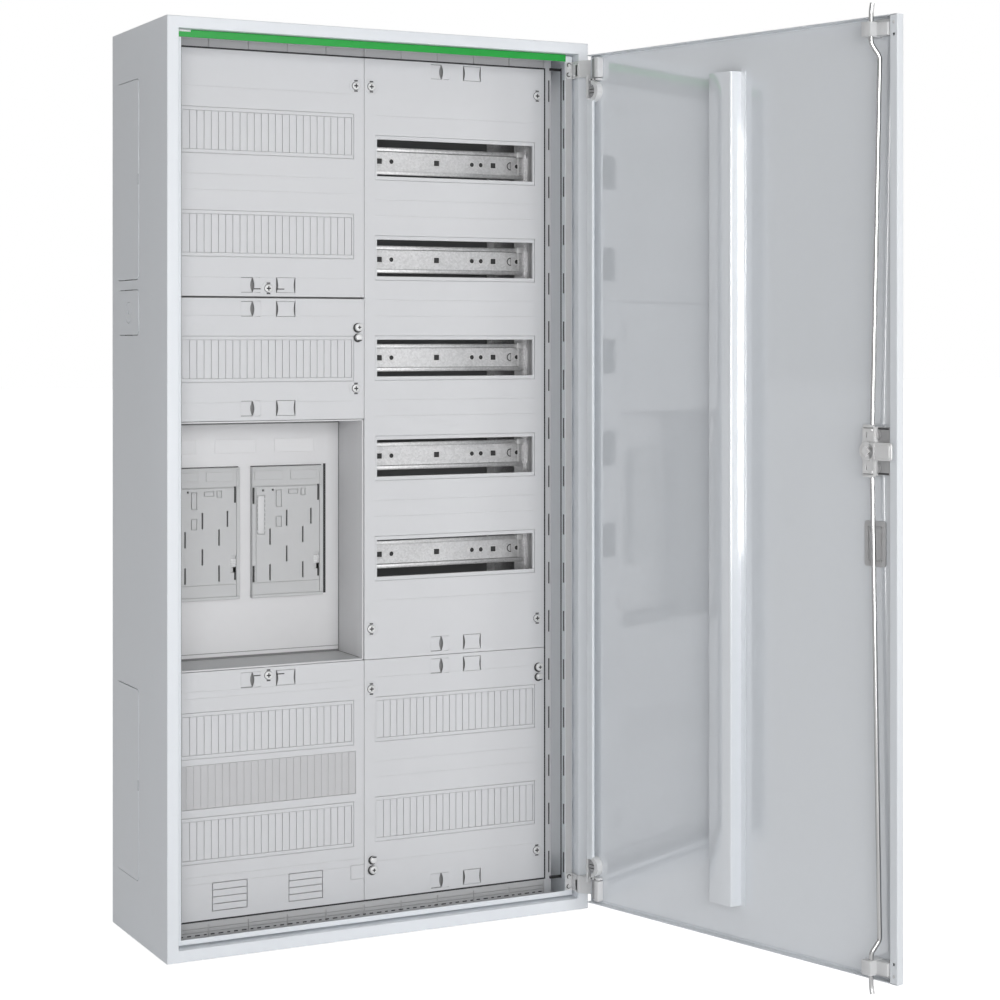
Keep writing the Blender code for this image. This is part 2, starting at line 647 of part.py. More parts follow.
def hinge_parts(label, z0, z1, up):
    """A lift-off hinge: the frame leaf with its pin, and the leaf on the door's edge."""
    ax, ad = HINGE_X, HINGE_D
    outer = 0.0050
    split = 0.42
    middle = z0 + (z1 - z0) * (1.0 - split if up else split)
    fixed = (middle + GAP, z1) if up else (z0, middle - GAP)
    moving = (z0, middle - GAP) if up else (middle + GAP, z1)
    # leaf screwed to the frame lip, with an arm that comes forward round the frame's edge
    t = 0.0022
    arm_x = HALF - FRAME_BAND - 0.0014
    bm = bmesh.new()
    y0 = LIP_DEPTH - GAP
    outline = [(0.2487, y0 - t), (arm_x - t, y0 - t), (arm_x - t, -0.0095),
               (ax - outer * 0.6, ad - 0.0025), (ax, ad + outer * 0.9),
               (arm_x + 0.0020, -0.0075), (arm_x, -0.0060), (arm_x, y0), (0.2487, y0)]
    lo, hi = fixed
    add_prism(bm, [(x, depth(d), lo) for x, d in outline], Vector((0.0, 0.0, hi - lo)))
    leaf = mesh_object("hinge_frame_leaf_" + label, bm, paint("hinge_frame_leaf_" + label,
                                                              HINGE_WHITE, 0.4))
    knuckle = bmesh.new()
    add_cylinder(knuckle, (ax, depth(ad), (lo + hi) / 2.0), outer, hi - lo, "Z")
    boolean(leaf, knuckle, "UNION")
    bore = bmesh.new()
    add_cylinder(bore, (ax, depth(ad), (lo + hi) / 2.0), 0.0026, hi - lo + 0.01, "Z")
    boolean(leaf, bore)
    # pin
    bm = bmesh.new()
    add_cylinder(bm, (ax, depth(ad), (z0 + z1) / 2.0), 0.0023, z1 - z0 - 0.0010, "Z")
    pin = mesh_object("hinge_pin_" + label, bm, paint("hinge_pin_" + label, ZINC, 0.3, 0.9))
    smooth(pin)
    # leaf on the door's hinge-side edge
    edge = DOOR_WIDTH / 2.0 + GAP
    bm = bmesh.new()
    outline = [(edge, 0.0085), (edge, -0.0012), (edge + 0.0040, -0.0105),
               (ax - outer * 0.9, ad - 0.0010), (ax, ad + outer * 0.9), (edge + 0.0080, -0.0075),
               (edge + 0.0022, 0.0), (edge + 0.0022, 0.0085)]
    lo, hi = moving
    add_prism(bm, [(x, depth(d), lo) for x, d in outline], Vector((0.0, 0.0, hi - lo)))
    wing = mesh_object("hinge_door_leaf_" + label, bm, paint("hinge_door_leaf_" + label,
                                                             HINGE_WHITE, 0.4))
    knuckle = bmesh.new()
    add_cylinder(knuckle, (ax, depth(ad), (lo + hi) / 2.0), outer, hi - lo, "Z")
    boolean(wing, knuckle, "UNION")
    bore = bmesh.new()
    add_cylinder(bore, (ax, depth(ad), (lo + hi) / 2.0), 0.0028, hi - lo + 0.01, "Z")
    boolean(wing, bore)
    hang(wing)


def rod_guides():
    for label, z0, z1 in (("upper", 1.0550, 1.0715), ("lower", 0.0285, 0.0450)):
        bm = bmesh.new()
        base = SHEET + GAP
        s_box(bm, (0.0275, 0.0410), (base, 0.0235), (z0, z1))
        guide = mesh_object("rod_guide_" + label, bm, paint("rod_guide_" + label, HINGE_WHITE, 0.4))
        bore = bmesh.new()
        x, p = on_door(ROD_TIP_S, ROD_TIP_P)
        add_cylinder(bore, (x, depth(p), (z0 + z1) / 2.0), ROD_RADIUS + GAP, z1 - z0 + 0.01, "Z", 16)
        boolean(guide, bore)
        hang(guide)


def rod(label, points, pivot):
    """A bent round bar whose centre line follows the points given as (s, p, z)."""
    curve = bpy.data.curves.new(label, "CURVE")
    curve.dimensions = "3D"
    curve.bevel_depth = ROD_RADIUS
    curve.bevel_resolution = 2
    curve.use_fill_caps = True
    line = curve.splines.new("POLY")
    line.points.add(len(points) - 1)
    for dot, (s, p, z) in zip(line.points, points):
        x, d = on_door(s, p)
        dot.co = (x, depth(d), z, 1.0)
    holder = bpy.data.objects.new(label + "_curve", curve)
    bpy.context.scene.collection.objects.link(holder)
    graph = bpy.context.evaluated_depsgraph_get()
    mesh = bpy.data.meshes.new_from_object(holder.evaluated_get(graph))
    bpy.data.objects.remove(holder, do_unlink=True)
    bm = bmesh.new()
    bm.from_mesh(mesh)
    bmesh.ops.remove_doubles(bm, verts=bm.verts, dist=0.00001)
    obj = mesh_object(label, bm, paint(label, ZINC, 0.25, 1.0))
    smooth(obj)
    return hang(obj, pivot)


def rods():
    tip = DOOR_TOP + ROD_OVERRUN
    x, d = on_door(ROD_TIP_S, ROD_TIP_P)
    upper = [(ROD_TIP_S, ROD_TIP_P, tip), (ROD_TIP_S, ROD_TIP_P, 1.0480),
             (0.0262, 0.0095, 1.0335), (0.0368, 0.0098, LOCK_Z + ROD_START)]
    rod("rod_upper", upper, (x, depth(d), 1.0600))
    tip = DOOR_BOTTOM - ROD_OVERRUN
    lower = [(ROD_TIP_S, ROD_TIP_P, tip), (ROD_TIP_S, ROD_TIP_P, 0.0520),
             (0.0262, 0.0095, 0.0665), (0.0368, 0.0098, LOCK_Z - ROD_START)]
    rod("rod_lower", lower, (x, depth(d), 0.0400))


def lock():
    # drive housing on the inner face, open along the rods
    base = SHEET + GAP
    bm = bmesh.new()
    s_box(bm, (LOCK_S - 0.0100, LOCK_S + 0.0100), (base, 0.0146), (LOCK_Z - 0.0285, LOCK_Z + 0.0285))
    case = mesh_object("lock_case", bm, paint("lock_case", ZINC, 0.4, 0.8))
    cuts = bmesh.new()
    s_box(cuts, (LOCK_S - 0.0060, LOCK_S + 0.0060), (0.0055, 0.0131), (LOCK_Z - 0.05, LOCK_Z + 0.05))
    x = DOOR_LEFT + LOCK_S
    boolean(case, cuts)
    hole = bmesh.new()
    add_cylinder(hole, (x, depth(0.008), LOCK_Z), 0.0064, 0.03, "Y", 20)
    boolean(case, hole)
    hang(case)
    # dish on the outer face, with a recess for fingers and a boss through the door
    bm = bmesh.new()
    add_rounded(bm, (DOOR_LEFT + LOCK_S - 0.018, DOOR_LEFT + LOCK_S + 0.018), (0.4660, 0.6400),
                (-0.0100, -GAP), 0.0080)
    dish = mesh_object("handle_dish", bm, paint("handle_dish", BLACK_PLASTIC, 0.4))
    boss = bmesh.new()
    s_box(boss, (0.0236, 0.0534), (-0.0060, 0.0035), (0.4743, 0.5237))
    boolean(dish, boss, "UNION")
    cuts = bmesh.new()
    add_cylinder(cuts, (x, depth(-0.005), LOCK_Z), 0.0064, 0.03, "Y", 20)
    add_rounded(cuts, (DOOR_LEFT + LOCK_S - 0.0125, DOOR_LEFT + LOCK_S + 0.0125), (0.4790, 0.5190),
                (-0.0150, 0.0015), 0.0040)
    boolean(dish, cuts)
    hang(dish)
    # lever with its square spindle
    pivot = (x, depth(0.0), LOCK_Z)
    bm = bmesh.new()
    add_rounded(bm, (x - 0.0105, x + 0.0105), (0.4745, LOCK_Z + 0.0150), (-0.0210, -0.0106), 0.0070)
    lever = mesh_object("handle_lever", bm, paint("handle_lever", BLACK_PLASTIC, 0.4))
    spindle = bmesh.new()
    s_box(spindle, (LOCK_S - 0.0040, LOCK_S + 0.0040), (-0.0150, 0.0190),
          (LOCK_Z - 0.0040, LOCK_Z + 0.0040))
    boolean(lever, spindle, "UNION")
    hang(lever, pivot)
    # latch plate whose tongue reaches behind the frame lip
    bm = bmesh.new()
    add_cylinder(bm, (x, depth(0.0167), LOCK_Z), 0.0105, 0.0030, "Y", 24)
    cam = mesh_object("latch_cam", bm, paint("latch_cam", ZINC, 0.35, 0.9))
    tongue = bmesh.new()
    add_rounded(tongue, (DOOR_LEFT + 0.0030, x - 0.0050), (LOCK_Z - 0.0098, LOCK_Z + 0.0098),
                (0.0152, 0.0182), 0.0035)
    boolean(cam, tongue, "UNION")
    cuts = bmesh.new()
    s_box(cuts, (LOCK_S - 0.0043, LOCK_S + 0.0043), (0.0100, 0.0250),
          (LOCK_Z - 0.0043, LOCK_Z + 0.0043))
    boolean(cam, cuts)
    hang(cam, pivot)


# ---------------------------------------------------------------- assembly

housing_shell()
side_plates()
back_panel()
entry_plates()
trim_strip()
field_frame()
bars()
uprights()
for rail_index in range(5):
    din_rail(rail_index)
covers()
cover_screws()
seal_fittings()
meter_tray()
meter_boards()
door_panel()
door_stiffener()
for hinge_label, hinge_span, hinge_up in (("lower", HINGE_SPANS[0], False),
                                          ("upper", HINGE_SPANS[1], True)):
    hinge_parts(hinge_label, hinge_span[0], hinge_span[1], hinge_up)
rod_guides()
rods()
lock()
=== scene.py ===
"""Looks of the wall-mounted meter and distribution cabinet: fine meshes, finishes, light and camera.

Everything is placed from the CAD nodes. X runs to the right across the front, -Y comes out of the
front and +Z is up. "d" is a depth behind the plane of the front frame. Door pieces are drawn with
the door closed and are then turned open about the hinge axis.
"""

import json
import math

import bmesh
import bpy
from mathutils import Matrix, Vector

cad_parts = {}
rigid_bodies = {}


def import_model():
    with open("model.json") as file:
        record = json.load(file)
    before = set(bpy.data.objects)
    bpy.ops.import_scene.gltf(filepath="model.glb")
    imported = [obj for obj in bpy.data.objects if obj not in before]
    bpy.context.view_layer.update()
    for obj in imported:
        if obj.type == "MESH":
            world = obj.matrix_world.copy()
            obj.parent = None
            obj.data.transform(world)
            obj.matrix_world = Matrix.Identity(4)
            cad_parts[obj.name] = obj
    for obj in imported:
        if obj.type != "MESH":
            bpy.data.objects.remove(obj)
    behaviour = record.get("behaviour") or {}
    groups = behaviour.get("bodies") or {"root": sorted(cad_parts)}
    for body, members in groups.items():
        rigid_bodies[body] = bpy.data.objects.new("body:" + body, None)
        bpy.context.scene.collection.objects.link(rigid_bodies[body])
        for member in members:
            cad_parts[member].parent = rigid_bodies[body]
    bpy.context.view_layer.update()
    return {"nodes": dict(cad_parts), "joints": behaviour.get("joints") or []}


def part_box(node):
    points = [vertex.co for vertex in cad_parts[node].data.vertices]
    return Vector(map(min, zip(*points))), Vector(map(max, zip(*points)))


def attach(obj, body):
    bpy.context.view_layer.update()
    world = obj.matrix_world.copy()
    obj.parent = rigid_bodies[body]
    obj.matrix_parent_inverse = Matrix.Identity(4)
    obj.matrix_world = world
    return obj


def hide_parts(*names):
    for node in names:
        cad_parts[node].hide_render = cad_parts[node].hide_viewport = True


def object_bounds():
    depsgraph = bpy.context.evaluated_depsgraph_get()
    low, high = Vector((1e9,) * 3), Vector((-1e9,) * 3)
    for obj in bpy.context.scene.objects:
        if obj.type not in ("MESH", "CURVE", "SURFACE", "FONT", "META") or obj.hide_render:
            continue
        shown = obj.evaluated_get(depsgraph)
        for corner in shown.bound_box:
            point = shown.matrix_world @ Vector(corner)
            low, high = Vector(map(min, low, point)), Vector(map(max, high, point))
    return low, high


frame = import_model()
JOINTS = {j["name"]: j for j in frame["joints"]}

SHELL_LOW, SHELL_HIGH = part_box("housing_shell")
FRONT = SHELL_LOW.y
SIDE_PLATES = ("side_plate_upper", "side_plate_middle", "side_plate_lower")
ENTRY_PLATES = ("entry_plate_bottom", "entry_plate_top")
SLOT_PITCH = 0.0625
HINGE = Vector(JOINTS["door_hinge"]["pos_m"])
OPEN_ANGLE = math.radians(-JOINTS["door_hinge"]["range_deg"][0])
OPEN = (Matrix.Translation(HINGE) @ Matrix.Rotation(OPEN_ANGLE, 4, "Z")
        @ Matrix.Translation(-HINGE))
CLOSE = OPEN.inverted()


def closed_box(node):
    """Corners of a door node's box with the door closed."""
    points = [CLOSE @ v.co for v in frame["nodes"][node].data.vertices]
    low = Vector([min(p[i] for p in points) for i in range(3)])
    high = Vector([max(p[i] for p in points) for i in range(3)])
    return low, high


DOOR_LOW, DOOR_HIGH = closed_box("door_panel")


# ---------------------------------------------------------------- finishes

def node(tree, kind, inputs=None, **settings):
    """Add a shader node; an input given as a socket is linked, any other value is set."""
    made = tree.nodes.new(kind)
    for key, value in settings.items():
        setattr(made, key, value)
    for key, value in (inputs or {}).items():
        if isinstance(value, bpy.types.NodeSocket):
            tree.links.new(value, made.inputs[key])
        else:
            made.inputs[key].default_value = value
    return made


def remap(tree, value, low, high, to_low, to_high):
    return node(tree, "ShaderNodeMapRange", {
        "Value": value, "From Min": low, "From Max": high, "To Min": to_low, "To Max": to_high,
    }).outputs["Result"]


def maths(tree, operation, a, b):
    return node(tree, "ShaderNodeMath", {0: a, 1: b}, operation=operation).outputs[0]


def blend_colour(tree, factor, a, b):
    made = node(tree, "ShaderNodeMix", {0: factor, 6: a, 7: b}, data_type="RGBA")
    return made.outputs[2]


def finish(name, colour, rough, metal=0.0, grain=900.0, bump=0.10, tint=0.03, rounding=0.0006,
           wear_and_highlight=0.12, ior=1.5, spangle=0.0, brushed=0.0, vary=0.06):
    """A procedural surface: cloudy colour, fine grain, uneven gloss, rounded edges, lightened partly as worn
    paint and partly as a painted highlight.
    """
    mat = bpy.data.materials.new(name)
    mat.use_nodes = True
    tree = mat.node_tree
    shader = tree.nodes["Principled BSDF"]
    at = node(tree, "ShaderNodeTexCoord").outputs["Object"]
    cloud = node(tree, "ShaderNodeTexNoise", {"Vector": at, "Scale": 5.0, "Detail": 3.0}).outputs["Fac"]
    dust = node(tree, "ShaderNodeTexNoise",
                {"Vector": at, "Scale": 70.0, "Detail": 6.0, "Roughness": 0.65}).outputs["Fac"]
    grains = node(tree, "ShaderNodeTexNoise", {"Vector": at, "Scale": grain, "Detail": 2.0}).outputs["Fac"]
    shade = maths(tree, "ADD", remap(tree, cloud, 0.3, 0.7, 1.0 - tint, 1.0 + tint),
                  remap(tree, dust, 0.3, 0.7, -0.4 * tint, 0.4 * tint))
    height = grains
    if spangle:
        cells = node(tree, "ShaderNodeTexVoronoi", {"Vector": at, "Scale": 480.0, "Randomness": 1.0})
        facet = node(tree, "ShaderNodeSeparateColor", {0: cells.outputs["Color"]}).outputs[0]
        shade = maths(tree, "MULTIPLY", shade, remap(tree, facet, 0.0, 1.0, 1.0 - spangle, 1.0
                                                     + 0.4 * spangle))
        height = maths(tree, "ADD", grains, remap(tree, facet, 0.0, 1.0, 0.0, 0.8))
    if brushed:
        stretched = node(tree, "ShaderNodeMapping", {"Vector": at, "Scale": (900.0, 900.0, 14.0)}).outputs[0]
        lines = node(tree, "ShaderNodeTexNoise", {"Vector": stretched, "Scale": 1.0,
                                                  "Detail": 3.0}).outputs["Fac"]
        shade = maths(tree, "MULTIPLY", shade, remap(tree, lines, 0.3, 0.7, 1.0 - brushed, 1.0 + brushed))
        height = maths(tree, "ADD", grains, lines)
    soft = node(tree, "ShaderNodeBevel", {"Radius": rounding}, samples=4).outputs[0]
    flat = node(tree, "ShaderNodeNewGeometry").outputs["True Normal"]
    turn = node(tree, "ShaderNodeVectorMath", {0: soft, 1: flat}, operation="DOT_PRODUCT").outputs["Value"]
    # edges lightened where the rounding turns: partly worn paint, partly a painted highlight
    wear_highlight_mask = maths(tree, "MULTIPLY", remap(tree, turn, 0.995, 0.85, 0.0, 1.0),
                remap(tree, dust, 0.40, 0.62, 0.2, 1.0))
    base = node(tree, "ShaderNodeVectorMath", {0: (*colour,), "Scale": shade}, operation="SCALE").outputs[0]
    wear_highlight_colour = tuple(min(1.0, c * 1.25 + 0.03) for c in colour)
    tree.links.new(blend_colour(tree, maths(tree, "MULTIPLY", wear_highlight_mask, wear_and_highlight), base, (*wear_highlight_colour, 1.0)),
                   shader.inputs["Base Color"])
    gloss = maths(tree, "ADD", remap(tree, cloud, 0.3, 0.7, rough - vary * 0.5, rough + vary * 0.5),
                  remap(tree, dust, 0.3, 0.7, -vary * 0.5, vary * 0.5))
    tree.links.new(gloss, shader.inputs["Roughness"])
    relief = node(tree, "ShaderNodeBump", {"Height": height, "Normal": soft, "Strength": bump,
                                           "Distance": 0.0002})
    tree.links.new(relief.outputs[0], shader.inputs["Normal"])
    shader.inputs["Metallic"].default_value = metal
    shader.inputs["IOR"].default_value = ior
    return mat


PAINT = finish("housing_paint", (0.80, 0.83, 0.865), 0.40, grain=1100, bump=0.16, tint=0.012,
               rounding=0.0009)
DOOR_PAINT = finish("door_paint", (0.70, 0.73, 0.765), 0.05, grain=500, bump=0.006, tint=0.010,
                    ior=2.3, vary=0.015)
RIM_PAINT = finish("rim_paint", (0.74, 0.77, 0.80), 0.34, grain=900, bump=0.05, tint=0.010, vary=0.03)
COVER = finish("cover_plastic", (0.665, 0.67, 0.685), 0.46, grain=1500, bump=0.10, tint=0.012)
BAND = finish("band_plastic", (0.56, 0.56, 0.57), 0.5, grain=1500, bump=0.10, tint=0.015)
FRAME_GREY = finish("frame_plastic", (0.52, 0.52, 0.525), 0.5, grain=1500, bump=0.12, tint=0.02)
TRAY = finish("tray_plastic", (0.73, 0.73, 0.74), 0.5, grain=1500, bump=0.10, tint=0.015)
BOARD = finish("board_plastic", (0.54, 0.545, 0.55), 0.45, grain=1500, bump=0.10, tint=0.02)
GREEN = finish("trim_green", (0.0, 0.33, 0.035), 0.36, grain=900, bump=0.05, tint=0.03, wear_and_highlight=0.04)
ZINC = finish("zinc", (0.62, 0.62, 0.625), 0.40, metal=0.6, grain=700, bump=0.2, tint=0.10,
              spangle=0.13, vary=0.14)
SCREW = finish("screw_zinc", (0.74, 0.74, 0.74), 0.42, metal=0.15, grain=900, bump=0.1, tint=0.05,
               rounding=0.0003)
CAST = finish("cast_zinc", (0.70, 0.70, 0.70), 0.36, metal=0.35, grain=800, bump=0.12, tint=0.05,
              rounding=0.0005)
ROD = finish("rod_steel", (0.46, 0.46, 0.46), 0.14, metal=1.0, grain=900, bump=0.02, tint=0.04,
             brushed=0.05, rounding=0.0001)
HINGE_WHITE = finish("hinge_plastic", (0.66, 0.665, 0.67), 0.38, grain=1200, bump=0.08, tint=0.02,
                     rounding=0.0004)
HINGE_GREY = finish("hinge_zinc", (0.36, 0.36, 0.365), 0.42, metal=0.4, grain=900, bump=0.1, tint=0.05,
                    rounding=0.0004)
# Dark greys laid where shade falls: painted shade and painted shadow in gaps, holes, grooves, corners and
# recesses. The near-black one is also the real colour of the cable entry membranes.
SHADE = finish("shaded_grey", (0.20, 0.20, 0.203), 0.55, grain=900, bump=0.1, tint=0.05)
SHADOW_GREY = finish("painted_shadow_grey", (0.22, 0.22, 0.222), 0.6, grain=900, bump=0.1, tint=0.05)
POCKET = finish("pocket_plastic", (0.50, 0.50, 0.505), 0.42, grain=1300, bump=0.1, tint=0.02)
DARK = finish("dark_gap", (0.025, 0.025, 0.026), 0.6, grain=900, bump=0.1, tint=0.1)
BLACK = finish("handle_black", (0.03, 0.03, 0.032), 0.38, grain=1300, bump=0.12, tint=0.08)


# ---------------------------------------------------------------- mesh tools

def xz(a, b, c):
    return Vector((a, c, b))


def yz(a, b, c):
    return Vector((c, a, b))


def xy(a, b, c):
    return Vector((a, b, c))


def rounded(a0, a1, b0, b1, r, steps=4):
    """Outline of a rectangle with rounded corners, as (a, b) points."""
    out = []
    for a, b, start in ((a1 - r, b1 - r, 0), (a0 + r, b1 - r, 90), (a0 + r, b0 + r, 180),
                        (a1 - r, b0 + r, 270)):
        for k in range(steps + 1):
            t = math.radians(start + 90.0 * k / steps)
            out.append((a + r * math.cos(t), b + r * math.sin(t)))
    return out


def circle(a, b, r, steps=16):
    return [(a + r * math.cos(2 * math.pi * k / steps), b + r * math.sin(2 * math.pi * k / steps))
            for k in range(steps)]


def rect(a0, a1, b0, b1):
    return [(a0, b0), (a1, b0), (a1, b1), (a0, b1)]


def plate(bm, outer, holes, c0, c1, put=xz):
    """A flat plate between c0 and c1 with any outline and any holes."""
    ends = []
    for c in (c0, c1):
        rings = []
        edges = []
        for ring in [outer] + list(holes):
            verts = [bm.verts.new(put(a, b, c)) for a, b in ring]
            edges += [bm.edges.new((verts[i - 1], verts[i])) for i in range(len(verts))]
            rings.append(verts)
        bmesh.ops.triangle_fill(bm, use_beauty=True, use_dissolve=False, edges=edges)
        ends.append(rings)
    for front, back in zip(*ends):
        for i in range(len(front)):
            bm.faces.new((front[i - 1], front[i], back[i], back[i - 1]))


def add_part(bm, part, matrix=None):
    mesh = bpy.data.meshes.new("part")
    if matrix:
        part.transform(matrix)
    part.to_mesh(mesh)
    part.free()
    bm.from_mesh(mesh)
    bpy.data.meshes.remove(mesh)


def block(bm, xs, ys, zs, r=0.0005, steps=2):
    """A box with rounded edges."""
    part = bmesh.new()
    size = (xs[1] - xs[0], ys[1] - ys[0], zs[1] - zs[0])
    middle = (sum(xs) / 2, sum(ys) / 2, sum(zs) / 2)
    bmesh.ops.create_cube(part, size=1.0, matrix=Matrix.Translation(middle) @ Matrix.Diagonal((*size, 1.0)))
    if r:
        bmesh.ops.bevel(part, geom=part.edges[:], offset=min(r, 0.45 * min(size)), segments=steps,
                        profile=0.5, affect="EDGES")
    add_part(bm, part)


def lathe(bm, profile, place, steps=20):
    """Spin a profile of (radius, height) round local Z, then place it."""
    rings = []
    for r, h in profile:
        if r < 1e-7:
            rings.append([bm.verts.new(place @ Vector((0, 0, h)))])
        else:
            rings.append([bm.verts.new(place @ Vector((a, b, h))) for a, b in circle(0, 0, r, steps)])
    for here, there in zip(rings, rings[1:]):
        for i in range(steps):
            corners = [here[i - 1] if len(here) > 1 else here[0], here[i] if len(here) > 1 else here[0],
                       there[i] if len(there) > 1 else there[0], there[i - 1]
                       if len(there) > 1 else there[0]]
            unique = list(dict.fromkeys(corners))
            if len(unique) > 2:
                bm.faces.new(unique)


def facing(point, direction=(0, -1, 0)):
    """Matrix that puts local Z along a direction at a point."""
    turn = Vector((0, 0, 1)).rotation_difference(Vector(direction)).to_matrix().to_4x4()
    return Matrix.Translation(point) @ turn


def soften(path, radius, steps=5):
    """Round the corners of a polyline."""
    out = [Vector(path[0])]
    for before, corner, after in zip(path, path[1:], path[2:]):
        corner = Vector(corner)
        a = corner + (Vector(before) - corner).normalized() * radius
        b = corner + (Vector(after) - corner).normalized() * radius
        for k in range(steps + 1):
            t = k / steps
            out.append(a.lerp(corner, t).lerp(corner.lerp(b, t), t))
    out.append(Vector(path[-1]))
    return out


def tube(bm, path, radius, sides=14):
    """A round bar along a path."""
    side = Vector((1, 0, 0))
    rings = []
    for i, point in enumerate(path):
        ahead = (path[min(i + 1, len(path) - 1)] - path[max(i - 1, 0)]).normalized()
        side = (side - ahead * side.dot(ahead)).normalized()
        other = ahead.cross(side)
        rings.append([bm.verts.new(point + (side * math.cos(2 * math.pi * k / sides)
                                            + other * math.sin(2 * math.pi * k / sides)) * radius)
                      for k in range(sides)])
    for here, there in zip(rings, rings[1:]):
        for i in range(sides):
            bm.faces.new((here[i - 1], here[i], there[i], there[i - 1]))
    for ring in (rings[0], rings[-1]):
        bm.faces.new(ring)


def relief(bm, xs, zs, y, patches, skirt=0.012, wall=0.0025):
    """A moulded plate facing -Y. Patches (x0, x1, z0, z1, h) rise by h, sink if h is negative,
    and are holes if h is None; later patches win."""
    def cuts(low, high, values):
        return sorted({round(v, 6) for v in values if low < v < high} | {round(low, 6), round(high, 6)})

    gx = cuts(*xs, [v for p in patches for v in p[:2]])
    gz = cuts(*zs, [v for p in patches for v in p[2:4]])
    level = [[0.0] * (len(gz) - 1) for _ in range(len(gx) - 1)]
    for x0, x1, z0, z1, h in patches:
        for i in range(len(gx) - 1):
            if x0 - 1e-6 < (gx[i] + gx[i + 1]) / 2 < x1 + 1e-6:
                for j in range(len(gz) - 1):
                    if z0 - 1e-6 < (gz[j] + gz[j + 1]) / 2 < z1 + 1e-6:
                        level[i][j] = h
    made = {}

    def vert(i, j, h):
        key = (i, j, round(h, 6))
        if key not in made:
            made[key] = bm.verts.new((gx[i], y - h, gz[j]))
        return made[key]

    def depth_of(i, j):
        if not (0 <= i < len(gx) - 1 and 0 <= j < len(gz) - 1):
            return -skirt
        h = level[i][j]
        return -wall if h is None else h

    for i in range(len(gx) - 1):
        for j in range(len(gz) - 1):
            h = level[i][j]
            if h is not None:
                bm.faces.new((vert(i, j, h), vert(i + 1, j, h), vert(i + 1, j + 1, h), vert(i, j + 1, h)))
    for i in range(len(gx)):
        for j in range(len(gz) - 1):
            a, b = depth_of(i - 1, j), depth_of(i, j)
            if abs(a - b) > 1e-6:
                bm.faces.new((vert(i, j, a), vert(i, j + 1, a), vert(i, j + 1, b), vert(i, j, b)))
    for i in range(len(gx) - 1):
        for j in range(len(gz)):
            a, b = depth_of(i, j - 1), depth_of(i, j)
            if abs(a - b) > 1e-6:
                bm.faces.new((vert(i, j, a), vert(i + 1, j, a), vert(i + 1, j, b), vert(i, j, b)))


def sweep(bm, section, outer):
    """Run a closed section of (inset, y) points round a rectangle (x0, x1, z0, z1), mitred.

    An inset may be one number or (left, right, bottom, top)."""
    x0, x1, z0, z1 = outer
    loops = []
    for right, top in ((0, 0), (1, 0), (1, 1), (0, 1)):
        loop = []
        for inset, y in section:
            left_i, right_i, bottom_i, top_i = inset if isinstance(inset, tuple) else (inset,) * 4
            loop.append(bm.verts.new((x1 - right_i if right else x0 + left_i, y,
                                      z1 - top_i if top else z0 + bottom_i)))
        loops.append(loop)
    for k in range(4):
        here, there = loops[k], loops[(k + 1) % 4]
        for i in range(len(section)):
            bm.faces.new((here[i - 1], here[i], there[i], there[i - 1]))


def arc(a, b, r, start, stop, steps=4, tall=None):
    """Points on an arc of radius r, or on an ellipse if its second radius is given."""
    turns = [math.radians(start + (stop - start) * k / steps) for k in range(steps + 1)]
    return [(a + r * math.cos(t), b + (tall or r) * math.sin(t)) for t in turns]


def piece(name, bm, mat, body, nodes=(), door=False, angle=32.0, bevel=0.0):
    """Turn a bmesh into a shown piece that rides on a CAD body."""
    if door:
        bm.transform(OPEN)
    bmesh.ops.recalc_face_normals(bm, faces=bm.faces)
    mesh = bpy.data.meshes.new(name)
    bm.to_mesh(mesh)
    bm.free()
    mesh.materials.append(mat)
    mesh.shade_smooth()
    mesh.set_sharp_from_angle(angle=math.radians(angle))
    obj = bpy.data.objects.new(name, mesh)
    bpy.context.scene.collection.objects.link(obj)
    if bevel:
        mod = obj.modifiers.new("Edges", "BEVEL")
        mod.width = bevel
        mod.segments = 2
        mod.limit_method = "ANGLE"
        mod.angle_limit = math.radians(40)
        mod.harden_normals = True
    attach(obj, body)
    if nodes:
        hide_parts(*nodes)
    return obj


def cut(obj, bm):
    """Cut obj with the closed shapes in bm."""
    bmesh.ops.recalc_face_normals(bm, faces=bm.faces)
    mesh = bpy.data.meshes.new(obj.name + "_cut")
    bm.to_mesh(mesh)
    bm.free()
    tool = bpy.data.objects.new(obj.name + "_cut", mesh)
    bpy.context.scene.collection.objects.link(tool)
    tool.hide_render = True
    tool.hide_viewport = True
    tool.parent = obj.parent
    mod = obj.modifiers.new("Cut", "BOOLEAN")
    mod.operation = "DIFFERENCE"
    mod.solver = "EXACT"
    mod.object = tool


# ---------------------------------------------------------------- housing

def y_at(d):
    return FRONT + d


